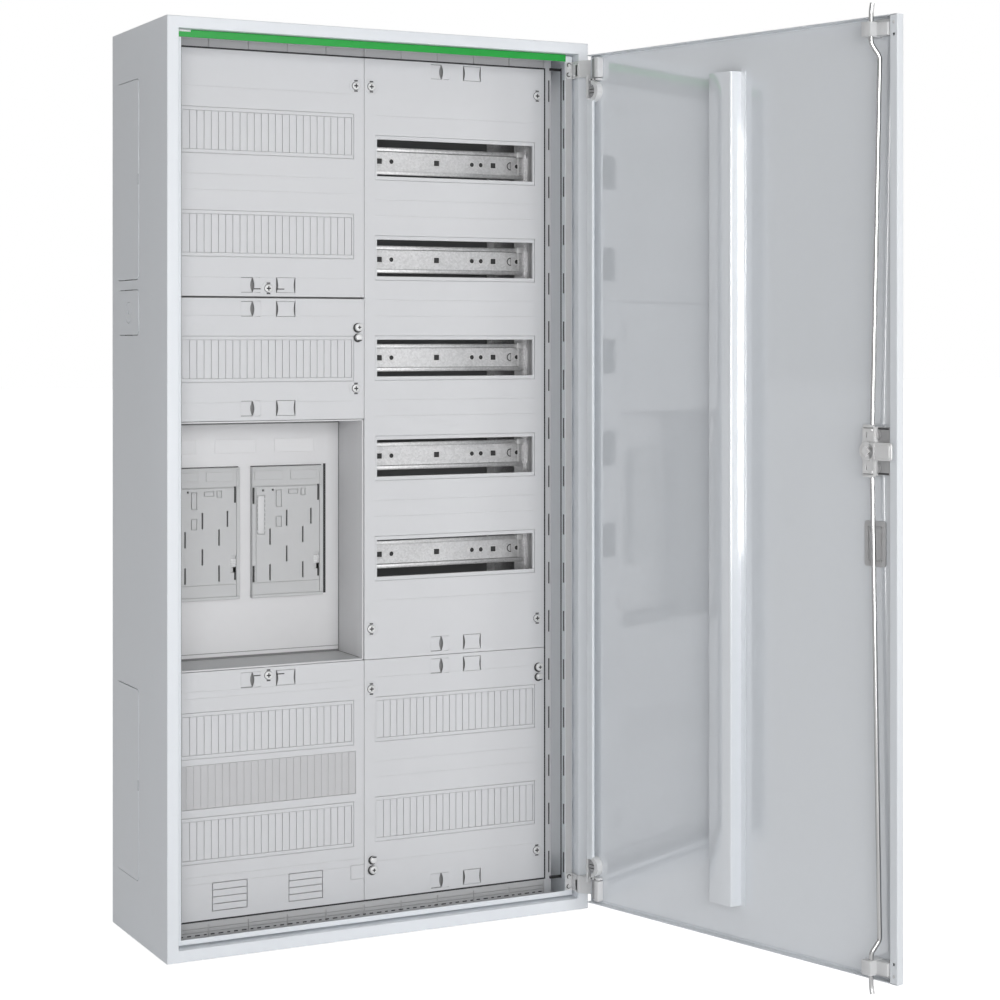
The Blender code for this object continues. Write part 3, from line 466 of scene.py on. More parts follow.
def build_housing():
    low, high = SHELL_LOW, SHELL_HIGH
    t = 0.0015
    rear = high.y
    lip_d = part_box("trim_strip")[1].y + 0.0003
    lip = (0.0205, 0.0267, 0.0227, 0.0231)
    band, gutter, floor = 0.014, 0.0165, 0.0230
    section = [(0.015, rear), (0.0, rear)]
    section += [(a, b) for a, b in arc(0.0012, y_at(0.0012), 0.0012, 180, 270)]
    section += [(a, b) for a, b in arc(band - 0.0008, y_at(0.0008), 0.0008, 270, 360)]
    section += [(band, y_at(floor)), (gutter, y_at(floor)), (gutter, lip_d + 0.0006)]
    section += [(gutter + 0.0002, lip_d + 0.0002), (gutter + 0.0006, lip_d), (lip, lip_d), (lip, lip_d + t),
                (gutter + t, lip_d + t), (gutter + t, y_at(floor + t)), (band - t, y_at(floor + t)),
                (band - t, y_at(t)), (t, y_at(t)), (t, rear - t), (0.015, rear - t)]
    bm = bmesh.new()
    sweep(bm, section, (low.x, high.x, low.z, high.z))
    shell = piece("housing_shell_skin", bm, PAINT, "cabinet", ("housing_shell",))
    cuts = bmesh.new()
    for name in SIDE_PLATES:
        a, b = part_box(name)
        plate(cuts, rounded(a.y - 0.0008, b.y + 0.0008, a.z - 0.0008, b.z + 0.0008, 0.0078, 6), (),
              low.x - 0.004, low.x + 0.004, yz)
    for name in ENTRY_PLATES:
        a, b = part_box(name)
        block(cuts, (a.x - 0.0003, b.x + 0.0003), (a.y - 0.0003, b.y + 0.0003), (a.z - 0.004, b.z + 0.004),
              0)
    # slots that the rods enter, near the free edge of the door
    rod = closed_box("rod_upper")
    x = (rod[0].x + rod[1].x) / 2 - 0.0003
    for z0, z1 in ((low.z + 0.005, low.z + 0.0233), (high.z - 0.0235, high.z - 0.005)):
        block(cuts, (x - 0.006, x + 0.006), (lip_d + 0.0018, y_at(0.025)), (z0, z1), 0)
    # vertical slots in the folded return of the right-hand lip
    for k in range(16):
        z = low.z + 0.088 + SLOT_PITCH * k
        block(cuts, (high.x - 0.019, high.x - 0.016), (y_at(0.0155), y_at(0.0185)), (z - 0.014, z + 0.014),
              0)
    cut(shell, cuts)
    shade_sheets = bmesh.new()
    for name in SIDE_PLATES:
        a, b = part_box(name)
        bm = bmesh.new()
        middle = (a.z + b.z) / 2
        if name == "side_plate_middle":
            cy = (a.y + b.y) / 2
            ring = circle(cy, middle, 0.0130, 28)
            plate(bm, rounded(a.y, b.y, a.z, b.z, 0.007, 6), (ring,), low.x - 0.0006, b.x, yz)
            plate(bm, circle(cy, middle, 0.0124, 28), (circle(cy, middle, 0.0022, 12),), low.x - 0.0006, b.x,
                  yz)
        else:
            slot = rect(a.y + 0.0010, a.y + 0.0038, middle - 0.0065, middle + 0.0065)
            plate(bm, rounded(a.y, b.y, a.z, b.z, 0.007, 6), (slot,), low.x - 0.0006, b.x, yz)
            # dark sheet inside each slot: painted shade
            block(shade_sheets, (low.x - 0.0001, low.x + 0.0004), (a.y + 0.0006, a.y + 0.0042),
                  (middle - 0.0070, middle + 0.0070), 0)
        piece(name + "_skin", bm, PAINT, "cabinet", (name,), bevel=0.0006)
    piece("side_plate_slot_shade", shade_sheets, DARK, "cabinet")
    # return on the right-hand wall with its row of slots; the slots and a line behind the return are dark
    # sheets of painted shade
    bm, shade_sheets = bmesh.new(), bmesh.new()
    wall = high.x - 0.0015
    block(bm, (wall - 0.0016, wall), (y_at(0.0600), y_at(0.0690)), (low.z + 0.024, high.z - 0.024), 0.0003)
    block(shade_sheets, (wall - 0.0006, wall), (y_at(0.0690), y_at(0.0740)), (low.z + 0.024, high.z - 0.024), 0)
    for k in range(17):
        z = low.z + 0.0465 + SLOT_PITCH * k
        block(shade_sheets, (wall - 0.0018, wall - 0.0010), (y_at(0.0612), y_at(0.0640)), (z - 0.013, z + 0.013), 0)
    piece("side_return", bm, PAINT, "cabinet")
    # grey sheet on the front of the right-hand lip: painted shade, darker than the paint round it
    bm = bmesh.new()
    block(bm, (high.x - lip[1] + 0.0004, high.x - 0.0176), (lip_d - 0.0003, lip_d),
          (low.z + 0.026, high.z - 0.026), 0)
    piece("right_lip_painted_shade", bm, FRAME_GREY, "cabinet")
    piece("side_return_slot_shade", shade_sheets, DARK, "cabinet")
    # shadow line round the inside of the front lip
    bm = bmesh.new()
    x = low.x + lip[0]
    block(bm, (x - 0.0006, x + 0.0010), (lip_d + t, lip_d + t + 0.0008), (low.z + 0.023, high.z - 0.023), 0)
    piece("lip_shadow", bm, SHADOW_GREY, "cabinet")
    # small pressed dimples in the side walls
    bm = bmesh.new()
    for z in (0.0470, 0.3270, 0.7740, 1.0535):
        place = facing((low.x + 0.00005, y_at(0.059), low.z + z), (-1, 0, 0))
        lathe(bm, ((0.0036, 0.0), (0.0030, 0.0004), (0.0022, 0.0002), (0.0012, -0.0002), (0.0, -0.0003)),
              place, 16)
    piece("side_dimples", bm, PAINT, "cabinet")
    for name in ENTRY_PLATES:
        a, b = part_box(name)
        bm = bmesh.new()
        centres = [(a.x + b.x) / 2 - 0.150 + 0.060 * k for k in range(6)]
        holes = [circle(x, (a.y + b.y) / 2, 0.0125, 24) for x in centres]
        plate(bm, rounded(a.x, b.x, a.y, b.y, 0.004, 4), holes, a.z, b.z, xy)
        piece(name + "_skin", bm, PAINT, "cabinet", (name,), bevel=0.0003)
        bm = bmesh.new()
        out = -1 if name.endswith("bottom") else 1
        edge = a.z if out < 0 else b.z
        for x in centres:
            place = facing((x, (a.y + b.y) / 2, edge), (0, 0, out))
            lathe(bm, ((0.0149, 0.0), (0.0149, 0.0012), (0.0140, 0.0018), (0.0122, 0.0018),
                       (0.0118, -0.0016),
                       (0.0050, -0.0022), (0.0, -0.0024)), place, 28)
        piece(name + "_membranes", bm, DARK, "cabinet")
    a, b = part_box("back_panel")
    bm = bmesh.new()
    holes = [circle(x, z, 0.005, 16) for x in (-0.215, 0.215) for z in (0.060, 1.040)]
    plate(bm, rounded(a.x, b.x, a.z, b.z, 0.002, 3), holes, a.y + 0.0004, b.y)
    piece("back_panel_skin", bm, PAINT, "cabinet", ("back_panel",))
    # dark sheet on the inner face of the back panel: painted shade inside the cabinet
    bm = bmesh.new()
    plate(bm, rect(a.x + 0.002, b.x - 0.002, a.z + 0.002, b.z - 0.002), holes, a.y, a.y + 0.0003)
    piece("back_panel_painted_shade", bm, SHADE, "cabinet")


def build_trim():
    a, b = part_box("trim_strip")
    bm = bmesh.new()
    profile = [(a.y + 0.0003, a.z), (a.y, a.z + 0.0004), (a.y, b.z - 0.0004), (a.y + 0.0003, b.z),
               (b.y, b.z),
               (b.y, a.z)]
    plate(bm, profile, (), a.x, b.x, yz)
    piece("trim_strip_skin", bm, GREEN, "cabinet", ("trim_strip",))
    # blank label plate at its left end
    bm = bmesh.new()
    block(bm, (a.x + 0.0005, a.x + 0.0145), (a.y - 0.0008, a.y), (b.z - 0.0026, b.z - 0.0001), 0.0003)
    piece("trim_label_blank", bm, HINGE_WHITE, "cabinet")


# ---------------------------------------------------------------- inner framework

def build_field_frame():
    low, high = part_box("field_frame")
    y = low.y
    t = 0.0015
    side, end = 0.0102, 0.0187
    bm = bmesh.new()
    x_in0, x_in1 = low.x + side, high.x - side
    z_in0, z_in1 = low.z + end, high.z - end
    slots = [low.z + 0.0400 + SLOT_PITCH * k for k in range(17)]
    right = bmesh.new()
    for x0, x1, sx in ((low.x, x_in0, low.x + 0.0036), (x_in1, high.x, high.x - 0.0036)):
        patches = [(sx - 0.0013, sx + 0.0013, z - 0.014, z + 0.014, -0.0014) for z in slots]
        patches += [(sx + 0.0004, sx + 0.0013, z - 0.014, z + 0.014, None) for z in slots]
        inner = (x_in0 - 0.0012, x_in0, low.z, high.z, 0.0008) if x0 == low.x else (
            x_in1, x_in1 + 0.0012, low.z, high.z, 0.0008)
        relief(bm if x0 == low.x else right, (x0, x1), (low.z, high.z), y, [inner] + patches, t, t)
    for z0, z1, inner in ((low.z, z_in0, (z_in0 - 0.0012, z_in0)), (z_in1, high.z, (z_in1, z_in1 + 0.0012))):
        patches = [(x_in0, x_in1, *inner, 0.0008)]
        count = int((x_in1 - x_in0) / 0.050)
        for k in range(1, count + 1):
            x = x_in0 + 0.050 * k
            width = 0.0011 if k == 5 else 0.0006
            patches.append((x - width, x + width, z0, z1 - 0.004, -0.0012))
        patches += [(x_in0, x_in1, z0 + q, z0 + q + 0.0006, -0.0012)
                    for q in ((0.0060, 0.0105) if z0 == low.z else (0.0120,))]
        relief(bm, (x_in0, x_in1), (z0, z1), y, patches, t, t)
    section = [(0.0, y + 0.022), (0.0015, y + 0.022), (0.0015, y + t), (0.0, y + t)]
    sweep(bm, section, (x_in0 - t, x_in1 + t, z_in0 - t, z_in1 + t))
    section = [(0.0, y + 0.022), (0.0123, y + 0.022), (0.0123, y + 0.0235), (0.0, y + 0.0235)]
    sweep(bm, section, (x_in0, x_in1, z_in0, z_in1))
    piece("field_frame_skin", bm, FRAME_GREY, "cabinet", ("field_frame",))
    # the right-hand strip is drawn in the lighter cover grey: painted light
    piece("field_frame_right_strip_painted_light", right, COVER, "cabinet")
    # dark sheets of painted shade: in the gaps between the frame and the covers, behind the slots in its
    # right-hand strip, in the row of small vents in its lower edge, and at the top and bottom of its
    # right-hand side
    bm = bmesh.new()
    for z0, z1 in ((z_in0 - 0.0002, z_in0 + 0.0016), (z_in1 - 0.0016, z_in1 + 0.0002)):
        block(bm, (x_in0, x_in1), (y - 0.0008, y + 0.0004), (z0, z1), 0)
    block(bm, (x_in1 - 0.0002, x_in1 + 0.0013), (y - 0.0010, y + 0.0004), (z_in0, z_in1), 0)
    for z in slots:
        x = high.x - 0.0036
        block(bm, (x, x + 0.0015), (y + 0.0004, y + 0.0009), (z - 0.014, z + 0.014), 0)
    x = x_in0 + 0.004
    k = 0
    while x < x_in1 - 0.008:
        width = (0.0060, 0.0035, 0.0048)[k % 3]
        block(bm, (x, x + width), (y - 0.0004, y + 0.0002), (low.z + 0.0022, low.z + 0.0034), 0)
        x += width + 0.0050
        k += 1
    for z0, z1 in ((low.z + 0.0185, low.z + 0.0215), (high.z - 0.0215, high.z - 0.0185)):
        block(bm, (high.x - 0.0028, HINGE.x + 0.0002), (y - 0.0040, y - 0.0006), (z0, z1), 0)
    piece("field_frame_gaps", bm, DARK, "cabinet")


def build_hidden():
    """Bars and uprights behind the covers: the CAD solids with a real finish."""
    finishes = {"centre_bar": FRAME_GREY, "cross_bar_upper": FRAME_GREY, "cross_bar_lower": FRAME_GREY,
                "upright_left": ZINC, "upright_centre": ZINC, "upright_right": ZINC}
    for name, mat in finishes.items():
        obj = frame["nodes"][name]
        obj.data.materials.clear()
        obj.data.materials.append(mat)


def build_rail(name):
    low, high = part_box(name)
    t = 0.0011
    y0, y1 = low.y, high.y
    z_mid = (low.z + high.z) / 2
    body = 0.0125
    bm = bmesh.new()
    # top-hat section in sheet of thickness t: two flanges, then two webs
    for zs in ((low.z, z_mid - body), (z_mid + body, high.z)):
        block(bm, (low.x, high.x), (y0, y0 + t), zs, 0.0004)
    for zs in ((z_mid - body - t, z_mid - body), (z_mid + body, z_mid + body + t)):
        block(bm, (low.x, high.x), (y0 + t * 0.2, y1), zs, 0.0004)
    x0 = low.x
    squares = [(x0 + c, 0.0036) for c in (0.0326, 0.1120, 0.1924)]
    rounds = [(x0 + c, 0.0029) for c in (0.0493, 0.1620, 0.1747, 0.2265)]
    holes = [rect(x - r, x + r, z_mid - r + 0.0002, z_mid + r - 0.0002) for x, r in squares]
    holes += [circle(x, z_mid, r, 16) for x, r in rounds]
    # body sheet, its right end notched at the corners
    outline = [(low.x, z_mid - body), (high.x - 0.004, z_mid - body), (high.x, z_mid - body + 0.004),
               (high.x, z_mid + body - 0.004), (high.x - 0.004, z_mid + body), (low.x, z_mid + body)]
    plate(bm, outline, holes, y1 - t, y1)
    piece(name + "_skin", bm, ZINC, "cabinet", (name,), angle=40)
    # burrs thrown up round the holes, and the stop and the rib at the right-hand end
    bm = bmesh.new()
    for x, r in squares:
        plate(bm, rect(x - r - 0.0007, x + r + 0.0007, z_mid - r - 0.0005, z_mid + r + 0.0005),
              [rect(x - r, x + r, z_mid - r + 0.0002, z_mid + r - 0.0002)], y1 - t - 0.0003, y1 - t)
    for x, r in rounds:
        plate(bm, circle(x, z_mid, r + 0.0008, 16), [circle(x, z_mid, r, 16)], y1 - t - 0.0003, y1 - t)
    block(bm, (high.x - 0.0100, high.x - 0.0006), (y0 - 0.0022, y0 + 0.0004),
          (high.z - 0.0062, high.z + 0.0010), 0.0006)
    block(bm, (high.x - 0.0052, high.x - 0.0036), (y1 - t - 0.0006, y1 - t), (z_mid - body, z_mid + body),
          0.0003)
    piece(name + "_burrs", bm, SCREW, "cabinet")
    # painted shade in dark sheets: at the edge of the pressed half-moon, in the holes and along the folds
    bm = bmesh.new()
    moon = arc(x0 + 0.2180, z_mid, 0.0058, 90, 270, 10, 0.0054)
    plate(bm, moon, (), y1 - t - 0.0002, y1 - t + 0.0001)
    for x, r in squares + rounds:
        block(bm, (x - r - 0.0001, x + r + 0.0001), (y1 - 0.0007, y1 - 0.0003), (z_mid - r, z_mid + r), 0)
    for z in (z_mid - body - 0.0002, z_mid + body + 0.0002):
        block(bm, (low.x, high.x - 0.004), (y1 - t - 0.0006, y1 - t), (z - 0.0005, z + 0.0005), 0)
    piece(name + "_hole_and_fold_shade", bm, DARK, "cabinet")
    bm = bmesh.new()
    plate(bm, arc(x0 + 0.2174, z_mid, 0.0040, 90, 270, 10), (), y1 - t - 0.0005, y1 - t - 0.0001)
    piece(name + "_moon", bm, ZINC, "cabinet")


# ---------------------------------------------------------------- covers

def border(cx, cz, w, h):
    """Raised border of a strip or window with grooves round it and inside it."""
    x0, x1, z0, z1 = cx - w - 0.0025, cx + w + 0.0025, cz - h - 0.0045, cz + h + 0.0045
    return [(x0, x1 + 0.0009, z0 - 0.0007, z1 + 0.0005, -0.0014), (x0, x1, z0, z1, 0.0005)]


def strip(cx, cz, w=0.108, h=0.023):
    """Border, sunk field and the score lines between the twenty-four half modules."""
    out = border(cx, cz, w, h)
    out += [(cx - w - 0.0004, cx + w + 0.0004, cz - h - 0.0004, cz + h + 0.0004, -0.0014),
            (cx - w, cx + w, cz - h, cz + h, -0.0003)]
    for k in range(1, 24):
        x = cx - w + 0.009 * k
        out.append((x - 0.00036, x + 0.00036, cz - h, cz + h, -0.0018))
    return out


def window(cx, cz, w=0.108, h=0.023):
    return border(cx, cz, w, h) + [(cx - w, cx + w, cz - h, cz + h, None)]


def score(x0, x1, z):
    return [(x0, x1, z - 0.0002, z + 0.0002, -0.0002)]


GRIP = (0.0125, 0.0093)


def bow(x, z0, z1, rise, steps=8):
    """Points up an edge that bulges sideways by rise."""
    return [(x + rise * math.sin(math.pi * k / steps), z0 + (z1 - z0) * k / steps) for k in range(steps + 1)]


def grip(bm, floor, shade, cx, cz, y, side, up, strap_shadow):
    """A finger grip in its opening: a low floor and a bowed strap; a dark sheet behind the gaps between them
    is painted shade, and a dark line by the strap is a painted shadow.
    """
    w, h = GRIP
    x0, x1, z0, z1 = cx - w, cx + w, cz - h, cz + h
    if side < 0:
        mid = x0 + 0.0145
        plate(bm, [(x0 + 0.0006, z1 - 0.0006), (x0 + 0.0006, z0 + 0.0006)]
              + bow(mid, z0 + 0.0006, z1 - 0.0006, -0.0023),
              (), y + 0.0020, y + 0.0034)
        plate(bm, [(x1, z1 - 0.0003), (x1, z0 + 0.0005)] + bow(mid, z0, z1, 0.0023), (), y - 0.0004, y
              + 0.0010)
        line = (mid + 0.0016, x1 - 0.0006)
    else:
        plate(bm, bow(x0 + 0.0009, z0 + 0.0004, z1 - 0.0004, 0.0019)
              + list(reversed(bow(x1 - 0.0010, z0 + 0.0004, z1 - 0.0004, -0.0014))), (), y - 0.0005, y
              + 0.0010)
        line = (x0 + 0.0008, x0 + 0.0105)
    # dark grey sheet behind the whole opening: painted shade in the pocket
    block(floor, (x0 - 0.001, x1 + 0.001), (y + 0.0036, y + 0.0042), (z0 - 0.001, z1 + 0.001), 0)
    # dark line at one end of the strap: painted shadow
    if strap_shadow:
        z = cz + up * 0.0047
        block(shade, line, (y - 0.0008, y + 0.0002), (z - 0.0006, z + 0.0006), 0)


def ring_boss(bm, shade, x, z, y, r=0.0053):
    """Flat collar round a screw, with a dark sheet of painted shade in the gap inside it and a short dark
    mark above and below.
    """
    lathe(bm, ((0.0088, -0.0006), (0.0086, 0.0003), (r + 0.0002, 0.0004), (r, 0.0002), (r, -0.003)),
          facing((x, y, z)), 36)
    block(shade, (x - 0.0060, x + 0.0060), (y + 0.0014, y + 0.0020), (z - 0.0060, z + 0.0060), 0)
    for s in (-1, 1):
        block(shade, (x - 0.0023, x + 0.0023), (y - 0.0007, y + 0.0002),
              (z + s * 0.0064 - 0.0007, z + s * 0.0064 + 0.0007), 0)


def build_cover(name, strips=(), windows=(), grips=(), screws=(), extra=(), flat=(), gap=(0, 0, 0, 0)):
    low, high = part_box(name)
    y = low.y + 0.0008
    xs = (low.x + gap[0], high.x - gap[1])
    zs = (low.z + gap[2], high.z - gap[3])
    cx = (low.x + high.x) / 2
    patches = []
    for z in tuple(strips) + tuple(windows):
        for dz in (-0.0525, 0.0525):
            if zs[0] + 0.003 < z + dz < zs[1] - 0.003:
                patches += score(xs[0] + 0.014, xs[1] - 0.014, z + dz)
    patches += list(flat)
    for z in strips:
        patches += strip(cx, z)
    for z in windows:
        patches += window(cx, z)
    straps, floor, shade = bmesh.new(), bmesh.new(), bmesh.new()
    for z, up, strap_shadow in grips:
        for side in (-1, 1):
            x = cx + side * 0.0222
            patches.append((x - GRIP[0], x + GRIP[0], z - GRIP[1], z + GRIP[1], None))
            grip(straps, floor, shade, x, z, y, side, up, strap_shadow)
    patches += list(extra)
    bosses = []
    for screw in screws:
        a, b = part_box(screw)
        sx, sz = (a.x + b.x) / 2, (a.z + b.z) / 2
        bosses.append((sx, sz))
        patches.append((sx - 0.0056, sx + 0.0056, sz - 0.0056, sz + 0.0056, None))
    bm = bmesh.new()
    relief(bm, xs, zs, y, patches)
    for sx, sz in bosses:
        ring_boss(bm, shade, sx, sz, y)
    piece(name + "_skin", bm, COVER, "cabinet", (name,), angle=20)
    piece(name + "_grips", straps, COVER, "cabinet", angle=40)
    # the dark sheets behind the grips, round the screws and in the marks are painted shade
    piece(name + "_grip_pocket_shade", floor, SHADOW_GREY, "cabinet")
    piece(name + "_gaps", shade, DARK, "cabinet")


def louvre(x0, z0):
    """A square break-out field with four horizontal bars."""
    z0 += 0.0058
    out = [(x0, x0 + 0.0445, z0, z0 + 0.0345, -0.0034)]
    for k in range(4):
        z = z0 + 0.0009 + 0.00843 * k
        out.append((x0 + 0.0009, x0 + 0.0436, z, z + 0.0074, 0.0))
    return out


def build_covers():
    rows = [(a.z + b.z) / 2 for a, b in (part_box("din_rail_%d" % k) for k in range(1, 6))]
    low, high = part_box("cover_left_top")
    build_cover("cover_left_top", strips=(high.z - 0.0995, high.z - 0.2235),
                grips=((low.z + 0.0147, -1, True),),
                screws=("cover_screw_01", "cover_screw_02"), gap=(0, 0, 0.0008, 0.0016))
    low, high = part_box("cover_left_middle")
    build_cover("cover_left_middle", strips=((low.z + high.z) / 2,),
                grips=((high.z - 0.0137, 1, False), (low.z + 0.0147, -1, False)),
                screws=("cover_screw_03",), gap=(0, 0, 0, 0.0008))
    low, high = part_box("cover_left_bottom")
    band_low, band_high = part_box("blanking_band")
    x0, x1 = low.x, high.x
    notch = [(x1 - 0.0175, x1, low.z + 0.0286, low.z + 0.0292, -0.0009),
             (x1 - 0.0175, x1, low.z + 0.0458, low.z + 0.0464, -0.0009),
             (x1 - 0.0178, x1 - 0.0172, low.z + 0.0290, low.z + 0.0460, -0.0009)]
    opening = [(band_low.x - 0.0003, band_high.x + 0.0003, band_low.z - 0.0003, band_high.z + 0.0003, None)]
    steps = score(x0, x1, low.z + 0.268) + score(x0, x1, low.z + 0.054)
    build_cover("cover_left_bottom", strips=(low.z + 0.2235, low.z + 0.0975),
                grips=((high.z - 0.0137, 1, True),),
                screws=("cover_screw_04",), gap=(0, 0, 0.0016, 0.0),
                extra=louvre(x0 + 0.0537, low.z + 0.005) + louvre(x0 + 0.1507, low.z + 0.005) + notch
                + opening + steps)
    low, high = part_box("cover_right_upper")
    build_cover("cover_right_upper", windows=rows, grips=((high.z - 0.0130, 1, False),
                                                          (low.z + 0.0137, -1, False)),
                screws=("cover_screw_05", "cover_screw_06", "cover_screw_07", "cover_screw_08"),
                gap=(0, 0, 0, 0.0016))
    low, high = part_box("cover_right_lower")
    build_cover("cover_right_lower", strips=(low.z + 0.2250, low.z + 0.1005),
                grips=((high.z - 0.0137, 1, False), (low.z + 0.0145, -1, False)),
                screws=("cover_screw_09", "cover_screw_10"), gap=(0, 0, 0.0016, 0))
    # blanking band with its score lines
    a, b = band_low, band_high
    bm = bmesh.new()
    patches = []
    count = 25
    pitch = (b.x - a.x) / count
    for k in range(1, count):
        x = a.x + pitch * k
        patches.append((x - 0.0003, x + 0.0003, a.z, b.z, -0.0005))
    relief(bm, (a.x, b.x), (a.z, b.z), a.y, patches, 0.002, 0.002)
    piece("blanking_band_skin", bm, BAND, "cabinet", ("blanking_band",))


def build_screws():
    for k in range(1, 11):
        name = "cover_screw_%02d" % k
        joint = JOINTS["screw_%02d_turn" % k]
        x, y, z = joint["pos_m"]
        bm = bmesh.new()
        r = 0.0048
        arm, width = 0.0029, 0.00085
        cross = [(arm, -width), (arm, width), (width, width), (width, arm), (-width, arm), (-width, width),
                 (-arm, width), (-arm, -width), (-width, -width), (-width, -arm), (width, -arm),
                 (width, -width)]
        place = Matrix.Translation((x, y - 0.0003, z))
        part = bmesh.new()
        top = -0.0018
        rings = []
        edges = []
        for ring in (circle(0, 0, r - 0.0006, 24), cross):
            verts = [part.verts.new((a, top, b)) for a, b in ring]
            edges += [part.edges.new((verts[i - 1], verts[i])) for i in range(len(verts))]
            rings.append(verts)
        bmesh.ops.triangle_fill(part, use_beauty=True, use_dissolve=False, edges=edges)
        sunk = [part.verts.new((v.co.x * 0.8, -0.0003, v.co.z * 0.8)) for v in rings[1]]
        for i in range(len(sunk)):
            part.faces.new((rings[1][i - 1], rings[1][i], sunk[i], sunk[i - 1]))
        part.faces.new(sunk)
        previous = rings[0]
        for radius, depth in ((r - 0.0002, top + 0.0002), (r, top + 0.0006), (r, -0.0001), (0.0024, 0.0),
                              (0.0024, 0.019)):
            ring = [part.verts.new((a, depth, b)) for a, b in circle(0, 0, radius, 24)]
            for i in range(24):
                part.faces.new((previous[i - 1], previous[i], ring[i], ring[i - 1]))
            previous = ring
        part.faces.new(previous)
        add_part(bm, part, place)
        piece(name + "_head", bm, SCREW, "screw_%02d" % k, (name,), angle=35)
        # dark sheet in the bottom of the cross: painted shade in the recess
        bm = bmesh.new()
        plate(bm, [(a * 0.92, b * 0.92) for a, b in cross], (), -0.0012, -0.0010)
        bm.transform(place)
        piece(name + "_recess_shade", bm, DARK, "screw_%02d" % k)
    for k in range(1, 4):
        name = "seal_fitting_%d" % k
        a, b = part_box(name)
        bm, shade = bmesh.new(), bmesh.new()
        cx, cz = (a.x + b.x) / 2, (a.z + b.z) / 2
        front = a.y + 0.0006
        main = -1 if k == 3 else 1
        for s, r in ((main, 0.0049), (-main, 0.0043)):
            z = cz + s * 0.0062
            lathe(bm, ((0.0, 0.0004), (r - 0.0014, 0.0005), (r - 0.0005, 0.0002), (r, -0.0006),
                       (r, front - b.y)),
                  facing((cx, front, z)), 30)
            # dark disc behind each head, set off down and to the left: a painted shadow
            plate(shade, circle(cx - 0.0009, z - 0.0006, r + 0.0011, 30), (), b.y - 0.0012, b.y - 0.0004)
        # dark cross on the main head and a dark bar below the pair: painted shade
        for half in ((0.0021, 0.0006), (0.0006, 0.0021)):
            block(shade, (cx - half[0], cx + half[0]), (front - 0.0008, front - 0.0004),
                  (cz + main * 0.0062 - half[1], cz + main * 0.0062 + half[1]), 0)
        z = cz - main * 0.0098
        block(shade, (cx - 0.0022, cx + 0.0030), (front - 0.0008, front + 0.0004), (z - 0.0006, z + 0.0006),
              0)
        piece(name + "_skin", bm, SCREW, "cabinet", (name,))
        piece(name + "_painted_shadows", shade, DARK, "cabinet")


# ---------------------------------------------------------------- meter recess

def build_recess():
    low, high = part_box("meter_tray")
    right = high.x
    left = low.x + 0.0123
    w = 0.0018
    back = high.y - 0.002
    bm = bmesh.new()
    block(bm, (left, right), (back, high.y), (low.z, high.z), 0.0004)
    for xs in ((left, left + w), (right - w, right)):
        block(bm, xs, (low.y, high.y), (low.z, high.z), 0.0004)
    for zs in ((low.z, low.z + w), (high.z - w, high.z)):
        block(bm, (left, right), (low.y, high.y), zs, 0.0004)
    block(bm, (low.x, left + 0.001), (low.y, low.y + 0.002), (low.z, high.z), 0.0004)
    piece("meter_tray_skin", bm, TRAY, "cabinet", ("meter_tray",))
    # darker sheet on the floor: painted shade
    bm = bmesh.new()
    block(bm, (left + w, right - w - 0.0005), (low.y + 0.0010, back), (low.z + w, low.z + w + 0.0004), 0)
    piece("meter_tray_floor_shade", bm, BOARD, "cabinet")
    # painted shade where the walls meet the back: a band under the top, a band and a line at the foot, and
    # lines down the right-hand corner and along the right-hand wall's foot
    bm = bmesh.new()
    block(bm, (left + w, right - w), (back - 0.0006, back), (high.z - 0.0066, high.z - w), 0)
    block(bm, (left + w, right - w), (back - 0.0006, back), (low.z + w, low.z + 0.0048), 0)
    block(bm, (left + w, right - w), (back - 0.0006, back), (low.z + 0.0092, low.z + 0.0098), 0)
    block(bm, (right - w - 0.0008, right - w), (back - 0.0008, back), (low.z + w, high.z - w), 0)
    block(bm, (right - w - 0.0006, right - w), (low.y + 0.010, back), (low.z + w, low.z + w + 0.0008), 0)
    piece("meter_tray_corner_shade", bm, SHADE, "cabinet")
    # blank marking plates moulded on the back wall
    bm = bmesh.new()
    for x0, x1 in ((left + 0.018, left + 0.0470), (left + 0.0710, left + 0.1245),
                   (left + 0.1485, left + 0.2015)):
        relief(bm, (x0, x1), (high.z - 0.0427, high.z - 0.0250), back - 0.0006,
               [(x0 + 0.0008, x1 - 0.0008, high.z - 0.0419, high.z - 0.0258, 0.0002)], 0.0006, 0.0006)
    piece("tray_marking_plates", bm, TRAY, "cabinet")
    for side in ("left", "right"):
        build_board(side, back)


